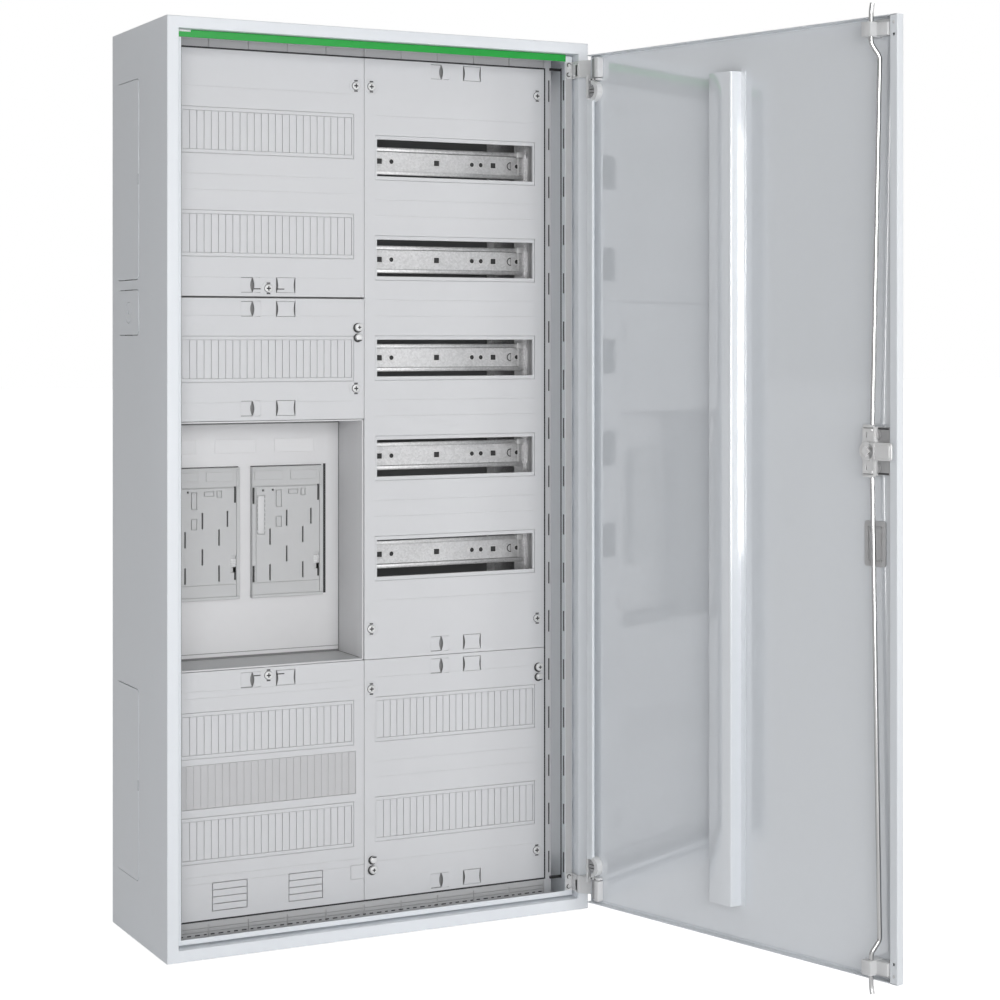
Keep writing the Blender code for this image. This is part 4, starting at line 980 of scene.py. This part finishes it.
def build_board(side, back):
    name = "meter_board_" + side
    a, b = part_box(name)
    x0, top = a.x, b.z
    y = a.y
    bm = bmesh.new()

    def area(u0, u1, v0, v1, h):
        return (x0 + u0, x0 + u1, top - v1, top - v0, h)

    slots = [(0.0231, 0.0773), (0.0231, 0.1220), (0.0450, 0.0546), (0.0450, 0.0994), (0.0664, 0.0759),
             (0.0664, 0.1203), (0.0772, 0.0532)]
    patches = [area(0.0020, 0.0915, 0.0020, 0.0236, -0.0006), area(0.0030, 0.0396, 0.0050, 0.0160, 0.0004),
               area(0.0500, 0.0850, 0.0050, 0.0160, 0.0004), area(0.0, 0.0935, 0.0242, 0.0249, -0.0014),
               area(0.0885, 0.0891, 0.0020, 0.1600, -0.0012), area(0.0045, 0.0050, 0.0260, 0.1437, -0.0012),
               area(0.0, 0.0885, 0.1440, 0.1446, -0.0010), area(0.0, 0.0935, 0.1590, 0.1596, -0.0010)]
    for u, v in slots:
        patches.append(area(u - 0.0010, u + 0.0010, v, v + 0.0200, None))
    for u, v, w in ((0.0014, 0.0255, 0.0032), (0.0014, 0.1230, 0.0032), (0.0872, 0.0232, 0.0030),
                    (0.0872, 0.1190, 0.0030)):
        patches.append(area(u - w / 2 if u > 0.01 else 0.0002, u + w / 2, v, v + 0.0203, None))
    for u0, u1, v0, v1 in ((0.0305, 0.0382, 0.0289, 0.0505), (0.0469, 0.0601, 0.0284, 0.0346),
                           (0.0632, 0.0697, 0.0277, 0.0368), (0.0305, 0.0382, 0.0618, 0.0755)):
        patches.append(area(u0, u1, v0, v1, -0.0016))
        patches.append(area(u0 + 0.0009, u1 - 0.0011, v0 + 0.0009, v1 - 0.0009, 0.0004))
    for u, v in ((0.0140, 0.0293), (0.0266, 0.0289)):
        patches.append(area(u - 0.0012, u + 0.0012, v - 0.0012, v + 0.0012, None))
    patches.append(area(0.0812, 0.0880, 0.1090, 0.1300, -0.0022))
    if side == "right":
        patches.append(area(0.0056, 0.0164, 0.0348, 0.0842, -0.0014))
    relief(bm, (a.x, b.x), (a.z, b.z), y, patches, b.y - a.y, 0.006)
    piece(name + "_skin", bm, BOARD, "cabinet", (name,), angle=20)
    # painted shadow: a dark gap beside the right-hand board, a line along the top of each board and dark
    # sheets behind its slots and holes
    bm = bmesh.new()
    if side == "right":
        block(bm, (b.x + 0.0030, b.x + 0.0062), (back - 0.0004, back), (a.z + 0.001, b.z + 0.002), 0)
    block(bm, (a.x, b.x), (back - 0.0012, back - 0.0001), (b.z + 0.0004, b.z + 0.0012), 0)
    for u, v in [(u, v + 0.0100) for u, v in slots] + [(q, v + 0.0101) for q, v in (
            (0.0014, 0.0255), (0.0014, 0.1230), (0.0872, 0.0232), (0.0872, 0.1190))] + [(0.0140, 0.0293),
                                                                                        (0.0266, 0.0289)]:
        reach = 0.0012 if v < 0.03 and u < 0.03 and u > 0.01 else 0.0103
        block(bm, (max(x0 + 0.0003, x0 + u - 0.0022), x0 + u + 0.0022), (y + 0.0022, y + 0.0028),
              (top - v - reach, top - v + reach), 0)
    piece(name + "_gap", bm, DARK, "cabinet")
    if side == "right":
        bm = bmesh.new()
        u0, u1, v0, v1 = 0.0068, 0.0152, 0.0362, 0.0828
        block(bm, (x0 + u0, x0 + u1), (y - 0.0016, y + 0.001), (top - v1, top - v0), 0.0005)
        for k in range(8):
            z = top - v0 - 0.0035 - 0.0057 * k
            block(bm, (x0 + u0 - 0.0013, x0 + u1 + 0.0013), (y - 0.0010, y + 0.001),
                  (z - 0.0009, z + 0.0009), 0.0003)
        piece("terminal_strip", bm, HINGE_WHITE, "cabinet")
    slider = "board_slider_" + side
    c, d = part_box(slider)
    bm = bmesh.new()
    block(bm, (c.x, d.x), (c.y, d.y), (c.z, d.z), 0.0006)
    for k in range(3):
        z = c.z + 0.0025 + 0.0025 * k
        block(bm, (c.x + 0.0008, d.x - 0.0008), (c.y - 0.0006, c.y + 0.0004), (z - 0.0006, z + 0.0006),
              0.0003)
    piece(slider + "_skin", bm, HINGE_WHITE, "slider_" + side, (slider,))


# ---------------------------------------------------------------- door

POCKET_Z = 0.499    # middle of the handle's finger pocket


def build_door():
    low, high = DOOR_LOW, DOOR_HIGH
    t = 0.0015
    lip = 0.0110
    y0, y1 = low.y, high.y
    # upright edges folded twice, with a return lip; top and bottom edges folded once
    nose = [(0.0030, y0)] + arc(0.0014, y0 + 0.0014, 0.0014, 270, 180)
    section = nose + arc(0.0010, y1 - 0.0010, 0.0010, 180, 90)
    section += [(lip - 0.0004, y1), (lip, y1 - 0.0004), (lip, y1 - 0.0035), (lip - 0.0010, y1 - 0.0035),
                (lip - 0.0010, y1 - 0.0012), (0.0012, y1 - 0.0012), (0.0012, y0 + 0.0016),
                (0.0030, y0 + 0.0016)]
    bm = bmesh.new()
    plate(bm, [(low.x + q, w) for q, w in section], (), low.z, high.z, xy)
    fold = nose + [(0.0, y1 - 0.0003), (0.0003, y1), (0.0009, y1), (0.0012, y1 - 0.0003),
                   (0.0012, y0 + 0.0016),
                   (0.0030, y0 + 0.0016)]
    for z, sign in ((low.z, 1), (high.z, -1)):
        plate(bm, [(w, z + sign * q) for q, w in fold], (), low.x + 0.0014, high.x - 0.0014, yz)
    door = piece("door_painted_shadows", bm, RIM_PAINT, "door", ("door_panel",), door=True)
    # hinge-side edge in stretches; beside each hinge only its front fold runs through, to clear the leaves
    front = nose + [(0.0, y0 + 0.0030), (0.0012, y0 + 0.0030), (0.0012, y0 + 0.0016), (0.0030, y0 + 0.0016)]
    whole, front = ([(high.x - q, w) for q, w in outline] for outline in (section, front))
    bm = bmesh.new()
    start = low.z
    for label in ("lower", "upper"):
        a, b = closed_box("hinge_door_leaf_" + label)
        c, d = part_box("hinge_frame_leaf_" + label)
        z0, z1 = min(a.z - 0.0015, c.z - 0.0012), max(b.z + 0.0010, d.z + 0.0012)
        plate(bm, whole, (), start, z0, xy)
        plate(bm, front, (), z0, z1, xy)
        start = z1
    plate(bm, whole, (), start, high.z, xy)
    piece("door_rim_hinge_side", bm, RIM_PAINT, "door", door=True)
    bm = bmesh.new()
    a, b = closed_box("handle_dish")
    cx = (a.x + b.x) / 2
    holes = [rounded(cx - 0.0152, cx + 0.0152, POCKET_Z - 0.025, POCKET_Z + 0.025, 0.003, 3)]
    sheet = rect(low.x + 0.0020, high.x - 0.0020, low.z + 0.0020, high.z - 0.0020)
    plate(bm, sheet, holes, y0 + 0.0006, y0 + t)
    piece("door_sheet", bm, DOOR_PAINT, "door", door=True)
    bm = bmesh.new()
    plate(bm, sheet, holes, y0 + 0.0001, y0 + 0.0007)
    piece("door_outer_face", bm, PAINT, "door", door=True)
    cuts = bmesh.new()
    for z in (high.z - 0.0090, high.z - 0.0221, low.z + 0.0221, low.z + 0.0090):
        lathe(cuts, ((0.0, -0.004), (0.0018, -0.004), (0.0018, 0.004), (0.0, 0.004)),
              facing((low.x + 0.0055, y1, z), (0, 1, 0)), 14)
    cuts.transform(OPEN)
    cut(door, cuts)
    # blind plugs in the outermost holes
    bm = bmesh.new()
    for z in (high.z - 0.0090, low.z + 0.0090):
        block(bm, (low.x + 0.0043, low.x + 0.0067), (y1 - 0.0012, y1 + 0.0002), (z - 0.0014, z + 0.0014),
              0.0003)
    piece("door_edge_plugs", bm, HINGE_WHITE, "door", door=True)


def build_stiffener():
    a, b = closed_box("door_stiffener")
    foot, t = 0.0070, 0.0010
    y0, y1 = a.y, b.y
    s0, s1 = a.x + foot, b.x - foot
    r = 0.0016
    section = [(a.x, y0), (s0 + t, y0), (s0 + t, y1 - t), (s1 - t, y1 - t), (s1 - t, y0), (b.x, y0),
               (b.x, y0 + t),
               (s1, y0 + t)]
    section += arc(s1 - r, y1 - r, r, 0, 90, 3) + arc(s0 + r, y1 - r, r, 90, 180, 3)
    section += [(s0, y0 + t), (a.x, y0 + t)]
    bm = bmesh.new()
    chamfer = 0.0008
    ends = []
    for z, sign in ((a.z, 1), (b.z, -1)):
        ends.append([bm.verts.new((x, y, z + sign * chamfer * max(0.0, (y - y0 - t) / (y1 - y0)))) for x,
                     y in section])
    for i in range(len(section)):
        bm.faces.new((ends[0][i - 1], ends[0][i], ends[1][i], ends[1][i - 1]))
    for ring in ends:
        bmesh.ops.triangle_fill(bm, use_beauty=True, edges=[bm.edges.get((ring[i - 1], ring[i]))
                                                            for i in range(len(ring))])
    piece("door_stiffener_skin", bm, DOOR_PAINT, "door", ("door_stiffener",), door=True)


def build_rods():
    for label, up in (("upper", 1), ("lower", -1)):
        a, b = closed_box("rod_guide_" + label)
        bm = bmesh.new()
        block(bm, (a.x, b.x), (a.y, b.y), (a.z, b.z), 0.0008)
        # strap and ear that reach to the door's rim
        block(bm, (DOOR_LOW.x + 0.012, a.x + 0.002), (a.y, b.y - 0.0100), (a.z + 0.001, b.z - 0.001), 0.0006)
        ear = (b.z - 0.001, b.z + 0.0035) if up > 0 else (a.z - 0.0035, a.z + 0.001)
        block(bm, (DOOR_LOW.x + 0.012, b.x - 0.003), (a.y, a.y + 0.0035), ear, 0.0006)
        piece("rod_guide_%s_skin" % label, bm, HINGE_WHITE, "door", ("rod_guide_" + label,),
              door=True)
        a, b = closed_box("rod_" + label)
        r = 0.0027
        x_tip, y_tip = DOOR_LOW.x + 0.0318, DOOR_LOW.y + 0.0175
        x_mid, y_mid = DOOR_LOW.x + 0.0262, DOOR_LOW.y + 0.0095
        x_end, y_end = DOOR_LOW.x + 0.0368, DOOR_LOW.y + 0.0098
        tip, root = (b.z, a.z) if up > 0 else (a.z, b.z)
        path = [(x_tip - 0.0018, y_tip, tip), (x_tip, y_tip, tip - up * 0.009),
                (x_tip, y_tip, tip - up * 0.0440),
                (x_mid, y_mid, tip - up * 0.0585), (x_end, y_end, root)]
        bm = bmesh.new()
        tube(bm, soften(path, 0.004), r)
        piece("rod_%s_skin" % label, bm, ROD, "rod_%s_body" % label, ("rod_" + label,),
              door=True, angle=60)


def build_lock():
    a, b = closed_box("lock_case")
    z = JOINTS["handle_turn"]["pos_m"][2]
    cx = (a.x + b.x) / 2
    y0, y1 = a.y, b.y
    bm = bmesh.new()
    outline = [(-0.0075, -0.0285), (0.0075, -0.0285), (0.0085, -0.0265), (0.0085, -0.0120),
               (0.0100, -0.0080),
               (0.0100, 0.0080), (0.0085, 0.0120), (0.0085, 0.0265), (0.0075, 0.0285), (-0.0075, 0.0285),
               (-0.0085, 0.0265), (-0.0085, 0.0120), (-0.0100, 0.0080), (-0.0100, -0.0080),
               (-0.0085, -0.0120),
               (-0.0085, -0.0265)]
    slots = [rect(cx + 0.0020, cx + 0.0032, z + 0.0150, z + 0.0210),
             rect(cx + 0.0020, cx + 0.0032, z - 0.0210, z - 0.0150)]
    plate(bm, [(cx + u, z + v) for u, v in outline], slots, y1 - 0.0016, y1)
    block(bm, (a.x + 0.0005, a.x + 0.0025), (y0, y1 - 0.001), (z - 0.0270, z + 0.0270), 0.0004)
    block(bm, (b.x - 0.0025, b.x - 0.0005), (y0, y1 - 0.001), (z - 0.0270, z + 0.0270), 0.0004)
    for s in (-1, 1):
        block(bm, (cx - 0.0075, cx + 0.0075), (y1 - 0.003, y1 + 0.0006),
              (z + s * 0.0275 - 0.0014, z + s * 0.0275 + 0.0014), 0.0005)
        lathe(bm, ((0.0, 0.0009), (0.0016, 0.0008), (0.0021, 0.0003), (0.0021, -0.001)),
              facing((cx - 0.0045, y1, z + s * 0.0230), (0, 1, 0)), 14)
    piece("lock_case_skin", bm, CAST, "door", ("lock_case",), door=True)
    # grey carrier under the case, with the guides for the rods' ends
    bm, shade = bmesh.new(), bmesh.new()
    block(bm, (DOOR_LOW.x + 0.0118, a.x + 0.0040), (y0, y1 - 0.0050), (z - 0.0262, z + 0.0262), 0.0006)
    for s in (-1, 1):
        lathe(bm, ((0.0052, 0.0), (0.0064, 0.0), (0.0064, 0.0012), (0.0052, 0.0012)),
              facing((a.x + 0.0020, y1 - 0.0052, z + s * 0.0185), (0, 1, 0)), 24)
        # dark lines of painted shade along the carrier, beside the case and across its ends
        block(shade, (DOOR_LOW.x + 0.0130, a.x + 0.0030), (y1 - 0.0052, y1 - 0.0048),
              (z + s * 0.0246 - 0.0009, z + s * 0.0246 + 0.0009), 0)
        block(shade, (cx - 0.0092, cx - 0.0086), (y1 - 0.0024, y1 - 0.0012),
              (z + s * 0.0195 - 0.0070, z + s * 0.0195 + 0.0070), 0)
        block(shade, (cx - 0.0070, cx + 0.0070), (y1 - 0.0002, y1 + 0.0003),
              (z + s * 0.0252 - 0.0003, z + s * 0.0252 + 0.0003), 0)
    piece("lock_carrier", bm, HINGE_GREY, "door", door=True)
    piece("lock_gaps", shade, DARK, "door", door=True)
    # latch plate and tongue
    a, b = closed_box("latch_cam")
    bm = bmesh.new()
    y0, y1 = a.y, b.y
    radius = b.x - cx
    lathe(bm, ((0.0046, 0.0), (radius - 0.0006, 0.0), (radius, 0.0006), (radius, y1 - y0 - 0.0006),
               (radius - 0.0006, y1 - y0), (0.0046, y1 - y0)), facing((cx, y0, z), (0, 1, 0)), 28)
    plate(bm, rounded(a.x, cx - 0.004, a.z if a.z > z - 0.0099 else z - 0.0098, z + 0.0098, 0.0030, 5), (),
          y0 + 0.0004, y1)
    plate(bm, rounded(a.x + 0.0022, cx - 0.0135, z - 0.0072, z + 0.0072, 0.0018, 4), (), y1 - 0.0001, y1
          + 0.0007)
    block(bm, (cx - 0.0125, cx - 0.0108), (y1 - 0.0004, y1 + 0.0012), (z - 0.0090, z + 0.0090), 0.0005)
    piece("latch_cam_skin", bm, CAST, "handle", ("latch_cam",), door=True)
    # lever with its square spindle, and the dish on the outer face
    a, b = closed_box("handle_lever")
    bm = bmesh.new()
    lx0, lx1 = cx - 0.0105, cx + 0.0105
    plate(bm, rounded(lx0, lx1, a.z, b.z, 0.0070, 6), (), a.y, a.y + 0.0104)
    spindle = [(cx - 0.0056, z), (cx, z - 0.0056), (cx + 0.0056, z), (cx, z + 0.0056)]
    plate(bm, spindle, (), a.y + 0.008, b.y)
    piece("handle_lever_skin", bm, BLACK, "handle", ("handle_lever",), door=True,
          bevel=0.0010)
    bm = bmesh.new()
    size = 0.0050
    diamond = [(cx - size * 1.25, z), (cx, z - size * 1.25), (cx + size * 1.25, z), (cx, z + size * 1.25)]
    plate(bm, diamond, (), y1 + 0.0001, y1 + 0.0022)
    piece("spindle_end", bm, SCREW, "handle", door=True, bevel=0.0004)
    a, b = closed_box("handle_dish")
    bm = bmesh.new()
    outer = rounded(a.x, b.x, a.z, b.z, 0.008, 6)
    hole = circle(cx, z, 0.0066, 24)
    pocket = rounded(cx - 0.0125, cx + 0.0125, POCKET_Z - 0.020, POCKET_Z + 0.020, 0.004, 4)
    plate(bm, outer, (hole, pocket), a.y, DOOR_LOW.y - 0.0003)
    piece("handle_dish_skin", bm, BLACK, "door", ("handle_dish",), door=True, bevel=0.0008)
    # rear of the finger pocket, seen through the door's cut-out
    bm = bmesh.new()

    def frame_of(wide, tall, r, steps):
        return rounded(cx - wide, cx + wide, POCKET_Z - tall, POCKET_Z + tall, r, steps)

    plate(bm, frame_of(0.0150, 0.0250, 0.003, 3), (frame_of(0.0105, 0.0195, 0.002, 3),), DOOR_LOW.y - 0.0050,
          b.y)
    plate(bm, frame_of(0.0145, 0.0245, 0.003, 3), (), DOOR_LOW.y - 0.0055, DOOR_LOW.y + 0.0016)
    for inset, high_y in ((0.0, 0.0026), (0.0052, 0.0023)):
        wide, tall = 0.0148 - inset, 0.0248 - inset * 1.2
        plate(bm, frame_of(wide, tall, 0.002, 3), (frame_of(wide - 0.0016, tall - 0.0016, 0.001, 2),),
              DOOR_LOW.y + 0.0014, DOOR_LOW.y + high_y)
    piece("handle_pocket_rear", bm, POCKET, "door", door=True)


def barrel(bm, inner, z0, z1):
    """A knuckle: a sleeve turned about the hinge axis."""
    length = z1 - z0
    lathe(bm, ((inner, 0.0), (0.0046, 0.0), (0.0050, 0.0004), (0.0050, length - 0.0004), (0.0046, length),
               (inner, length)), facing((HINGE.x, HINGE.y, z0), (0, 0, 1)), 24)


def build_hinges():
    for label, up in (("lower", -1), ("upper", 1)):
        name = "hinge_frame_leaf_" + label
        a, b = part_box(name)
        bm = bmesh.new()
        lip_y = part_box("trim_strip")[1].y
        # leaf screwed to the frame's lip
        plate(bm, rounded(a.x, a.x + 0.0108, a.z, b.z, 0.002, 3), (), lip_y - 0.0022, lip_y)
        for z in (a.z + 0.006, b.z - 0.006):
            lathe(bm, ((0.0, 0.0012), (0.0020, 0.0010), (0.0028, 0.0004), (0.0028, -0.0010)),
                  facing((a.x + 0.0055, lip_y - 0.0022, z)), 18)
        # arm round to the knuckle
        arm = [(a.x + 0.0078, lip_y), (a.x + 0.0078, y_at(-0.0080)), (HINGE.x - 0.0040, HINGE.y - 0.0030),
               (HINGE.x, HINGE.y + 0.0046), (a.x + 0.0118, y_at(-0.0060)), (a.x + 0.0100, y_at(-0.0040)),
               (a.x + 0.0100, lip_y)]
        plate(bm, arm, (), a.z, b.z, xy)
        barrel(bm, 0.0026, a.z, b.z)
        piece(name + "_skin", bm, HINGE_WHITE, "cabinet", (name,))
        # cast bracket in front of the band, with its grooves and clamping screws; the grooves and a disc
        # under each screw head are dark sheets of painted shade
        bm, shade = bmesh.new(), bmesh.new()
        z0, z1 = a.z + 0.0010, b.z - 0.0010
        left, right = HINGE.x - 0.0172, HINGE.x - 0.0012
        face = y_at(-0.0090)
        outline = [(left, z0), (right - 0.0040, z0), (right, z0 + 0.0050), (right, z1), (left + 0.0040, z1),
                   (left, z1 - 0.0040)]
        plate(bm, outline, (), face, y_at(-0.0012))
        block(bm, (left, left + 0.0025), (y_at(-0.0060), lip_y), (z0 + 0.001, z1 - 0.001), 0.0005)
        for u, z, wide, tall in ((0.0025, z1 - 0.0040, 0.0016, 0.0030),
                                 (0.0062, z1 - 0.0072, 0.0013, 0.0052),
                                 (0.0098, z1 - 0.0035, 0.0011, 0.0030),
                                 (0.0032, z0 + 0.0036, 0.0010, 0.0034),
                                 (0.0090, z0 + 0.0026, 0.0024, 0.0010),
                                 (0.0132, z0 + 0.0060, 0.0020, 0.0009)):
            x = left + u
            block(shade, (x - wide / 2, x + wide / 2), (face - 0.0002, face + 0.0004),
                  (z - tall / 2, z + tall / 2), 0)
        for x, z in ((left - 0.0035, z1 - 0.0030), (left - 0.0040, z0 + 0.0040)):
            place = facing((x, lip_y - 0.0022, z))
            lathe(shade, ((0.0, 0.0003), (0.0030, 0.0003), (0.0030, -0.0004)), place, 18)
            lathe(bm, ((0.0, 0.0014), (0.0012, 0.0014), (0.0019, 0.0008), (0.0019, -0.0004)), place, 18)
        piece("hinge_bracket_" + label, bm, HINGE_WHITE, "cabinet", bevel=0.0004)
        piece("hinge_bracket_groove_shade_" + label, shade, DARK, "cabinet")
        name = "hinge_pin_" + label
        a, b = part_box(name)
        bm = bmesh.new()
        length = b.z - a.z
        lathe(bm, ((0.0, 0.0), (0.0018, 0.0), (0.0023, 0.0005), (0.0023, length - 0.0005), (0.0018, length),
                   (0.0, length)),
              facing((HINGE.x, HINGE.y, a.z), (0, 0, 1)), 20)
        piece(name + "_skin", bm, SCREW, "cabinet", (name,))
        name = "hinge_door_leaf_" + label
        a, b = closed_box(name)
        bm = bmesh.new()
        outline = [(a.x, DOOR_HIGH.y - 0.002), (a.x, DOOR_LOW.y - 0.0012),
                   (a.x + 0.0040, DOOR_LOW.y - 0.0105),
                   (HINGE.x - 0.0045, HINGE.y - 0.0010), (HINGE.x, HINGE.y + 0.0045),
                   (a.x + 0.0080, DOOR_LOW.y - 0.0075),
                   (a.x + 0.0022, DOOR_LOW.y), (a.x + 0.0022, DOOR_HIGH.y - 0.002)]
        plate(bm, outline, (), a.z, b.z, xy)
        barrel(bm, 0.0028, a.z, b.z)
        piece(name + "_skin", bm, HINGE_WHITE, "door", (name,), door=True)
        hinge_caps(label, up)


def hinge_caps(label, up):
    """Covers over the hinge's fixings on the inner face of the door, and the spring drum on the leaf."""
    def at(value):    # heights are those of the upper hinge, and the lower one mirrors them
        return value if up > 0 else SHELL_LOW.z + SHELL_HIGH.z - value

    def span(z0, z1):
        return tuple(sorted((at(z0), at(z1))))

    base = DOOR_LOW.y + 0.0015
    left = DOOR_LOW.x
    white, grey, shade = bmesh.new(), bmesh.new(), bmesh.new()
    block(white, (left + 0.4855, left + 0.4925), (base, base + 0.0095), span(1.0497, 1.0747), 0.0012)
    z0, z1 = span(1.0500, 1.0740)
    panel = [(left + 0.4930, z0), (left + 0.5020, z0), (left + 0.5020, z1), (left + 0.4930, z1)]
    plate(grey, panel, (), base, base + 0.0040)
    block(shade, (left + 0.4926, left + 0.4932), (base, base + 0.0046), (z0, z1), 0)
    # half-round cap, its round side away from the hinge
    cz = at(1.0335)
    moon = arc(left + 0.5000, cz, 0.0135, 96, 264, 14, 0.0130)
    inner = arc(left + 0.5000, cz, 0.0075, 264, 96, 14, 0.0085)
    plate(white, moon + inner, (), base, base + 0.0090)
    plate(grey, circle(left + 0.4995, cz, 0.0068, 28), (), base, base + 0.0060)
    plate(shade, circle(left + 0.4995, cz, 0.0074, 28), (circle(left + 0.4995, cz, 0.0068, 28),), base, base
          + 0.0050)
    for dz in (-0.0022, 0.0022):
        block(shade, (left + 0.4945, left + 0.5045), (base + 0.0058, base + 0.0062),
              (cz + dz - 0.0005, cz + dz + 0.0005), 0)
    # bar between the two with its two holes
    z0, z1 = span(1.0462, 1.0490)
    block(white, (left + 0.4870, left + 0.5040), (base, base + 0.0080), (z0, z1), 0.0006)
    for s in (0.4925, 0.4985):
        block(shade, (left + s - 0.0013, left + s + 0.0013), (base + 0.0078, base + 0.0082),
              (z0 + 0.0006, z1 - 0.0006), 0)
    # the dark sheets in the joints, round the grey disc, in the lines across it and in the bar's holes are
    # painted shade
    piece("hinge_caps_" + label, white, HINGE_WHITE, "door", door=True, angle=40)
    piece("hinge_dish_" + label, grey, HINGE_GREY, "door", door=True)
    piece("hinge_cap_joint_shade_" + label, shade, DARK, "door", door=True)


# ---------------------------------------------------------------- studio

def build_studio():
    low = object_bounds()[0]
    bm = bmesh.new()
    bmesh.ops.create_grid(bm, x_segments=1, y_segments=1, size=30.0,
                          matrix=Matrix.Translation((0, 0, low.z - 0.0005)))
    mesh = bpy.data.meshes.new("floor")
    bm.to_mesh(mesh)
    bm.free()
    floor = bpy.data.objects.new("floor", mesh)
    bpy.context.scene.collection.objects.link(floor)
    mat = bpy.data.materials.new("floor_pale")
    mat.use_nodes = True
    tree = mat.node_tree
    shader = tree.nodes["Principled BSDF"]
    shader.inputs["Base Color"].default_value = (0.86, 0.86, 0.87, 1.0)
    shader.inputs["Roughness"].default_value = 0.7
    rays = node(tree, "ShaderNodeLightPath")
    shader.inputs["Emission Color"].default_value = (1.0, 1.0, 1.0, 1.0)
    glow = maths(tree, "ADD", maths(tree, "MULTIPLY", rays.outputs["Is Camera Ray"], 0.80),
                 maths(tree, "MULTIPLY", rays.outputs["Is Glossy Ray"], 0.42))
    tree.links.new(glow, shader.inputs["Emission Strength"])
    mesh.materials.append(mat)
    world = bpy.data.worlds.new("studio")
    bpy.context.scene.world = world
    world.use_nodes = True
    tree = world.node_tree
    backdrop = tree.nodes["Background"]
    rays = node(tree, "ShaderNodeLightPath")
    around = node(tree, "ShaderNodeSeparateXYZ", {0: node(tree, "ShaderNodeTexCoord").outputs["Generated"]})
    soft = remap(tree, around.outputs["Z"], -0.6, 1.0, 0.26, 0.36)
    mirrored = node(tree, "ShaderNodeMix", {0: rays.outputs["Is Glossy Ray"], 2: soft, 3: 0.62}).outputs[0]
    strength = node(tree, "ShaderNodeMix", {0: rays.outputs["Is Camera Ray"], 2: mirrored,
                                            3: 1.0}).outputs[0]
    backdrop.inputs["Color"].default_value = (1.0, 1.0, 1.0, 1.0)
    tree.links.new(strength, backdrop.inputs["Strength"])
    # name, place, aim, size, watts, lights surfaces directly
    inner_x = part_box("upright_right")[1].x + 0.0030
    for name, place, aim, size, power, diffuse in (
            ("key", (-0.8, -4.8, 1.05), (0.0, 0.0, 0.55), (4.0, 2.2), 128.0, True),
            ("side", (2.87, -2.02, 0.30), (0.35, -0.40, 0.30), (1.2, 1.9), 16.0, True),
            ("sheen", (-2.32, -4.77, 0.585), (0.31, -0.40, 0.585), (0.9, 1.69), 80.0, False),
            ("channel", (inner_x, 0.010, 0.55), (0.2735, -0.020, 0.55), (0.016, 1.02), 0.07, True)):
        data = bpy.data.lights.new(name, "AREA")
        data.shape = "RECTANGLE"
        data.size, data.size_y = size
        data.energy = power
        light = bpy.data.objects.new(name, data)
        bpy.context.scene.collection.objects.link(light)
        light.location = place
        light.rotation_euler = (Vector(aim) - Vector(place)).to_track_quat("-Z", "Y").to_euler()
        light.visible_camera = False
        light.visible_diffuse = diffuse


def shift_at_home(camera, path, shift):
    """Lens shift that holds only where the camera now stands: a curve over the camera's own X."""
    home = camera.location.x
    curve = camera.data.driver_add(path)
    curve.driver.type = "SUM"
    spot = curve.driver.variables.new()
    spot.type = "TRANSFORMS"
    spot.targets[0].id = camera
    spot.targets[0].transform_type = "LOC_X"
    curve.modifiers.remove(curve.modifiers[0])
    for x, value in ((home - 0.02, 0.0), (home, shift), (home + 0.02, 0.0)):
        curve.keyframe_points.insert(x, value).interpolation = "LINEAR"
    curve.extrapolation = "CONSTANT"


def build_camera():
    """The viewpoint stands to the left of the cabinet and looks level, with the lens shifted."""
    data = bpy.data.cameras.new("camera")
    data.sensor_width = 36.0
    data.lens = 82.595
    data.clip_start = 0.05
    data.clip_end = 100.0
    camera = bpy.data.objects.new("camera", data)
    bpy.context.scene.collection.objects.link(camera)
    camera.location = (-1.0795, FRONT - 2.5866, 0.7247)
    camera.rotation_euler = (math.radians(90.0), 0.0, math.radians(-28.704))
    shift_at_home(camera, "shift_x", -0.1309)
    shift_at_home(camera, "shift_y", -0.1613)
    bpy.context.scene.camera = camera
    bpy.context.scene.view_settings.view_transform = "Standard"
    bpy.context.scene.view_settings.look = "None"


build_housing()
build_trim()
build_field_frame()
build_hidden()
for rail_name in ("din_rail_%d" % k for k in range(1, 6)):
    build_rail(rail_name)
build_covers()
build_screws()
build_recess()
build_door()
build_stiffener()
build_rods()
build_lock()
build_hinges()
build_studio()
build_camera()
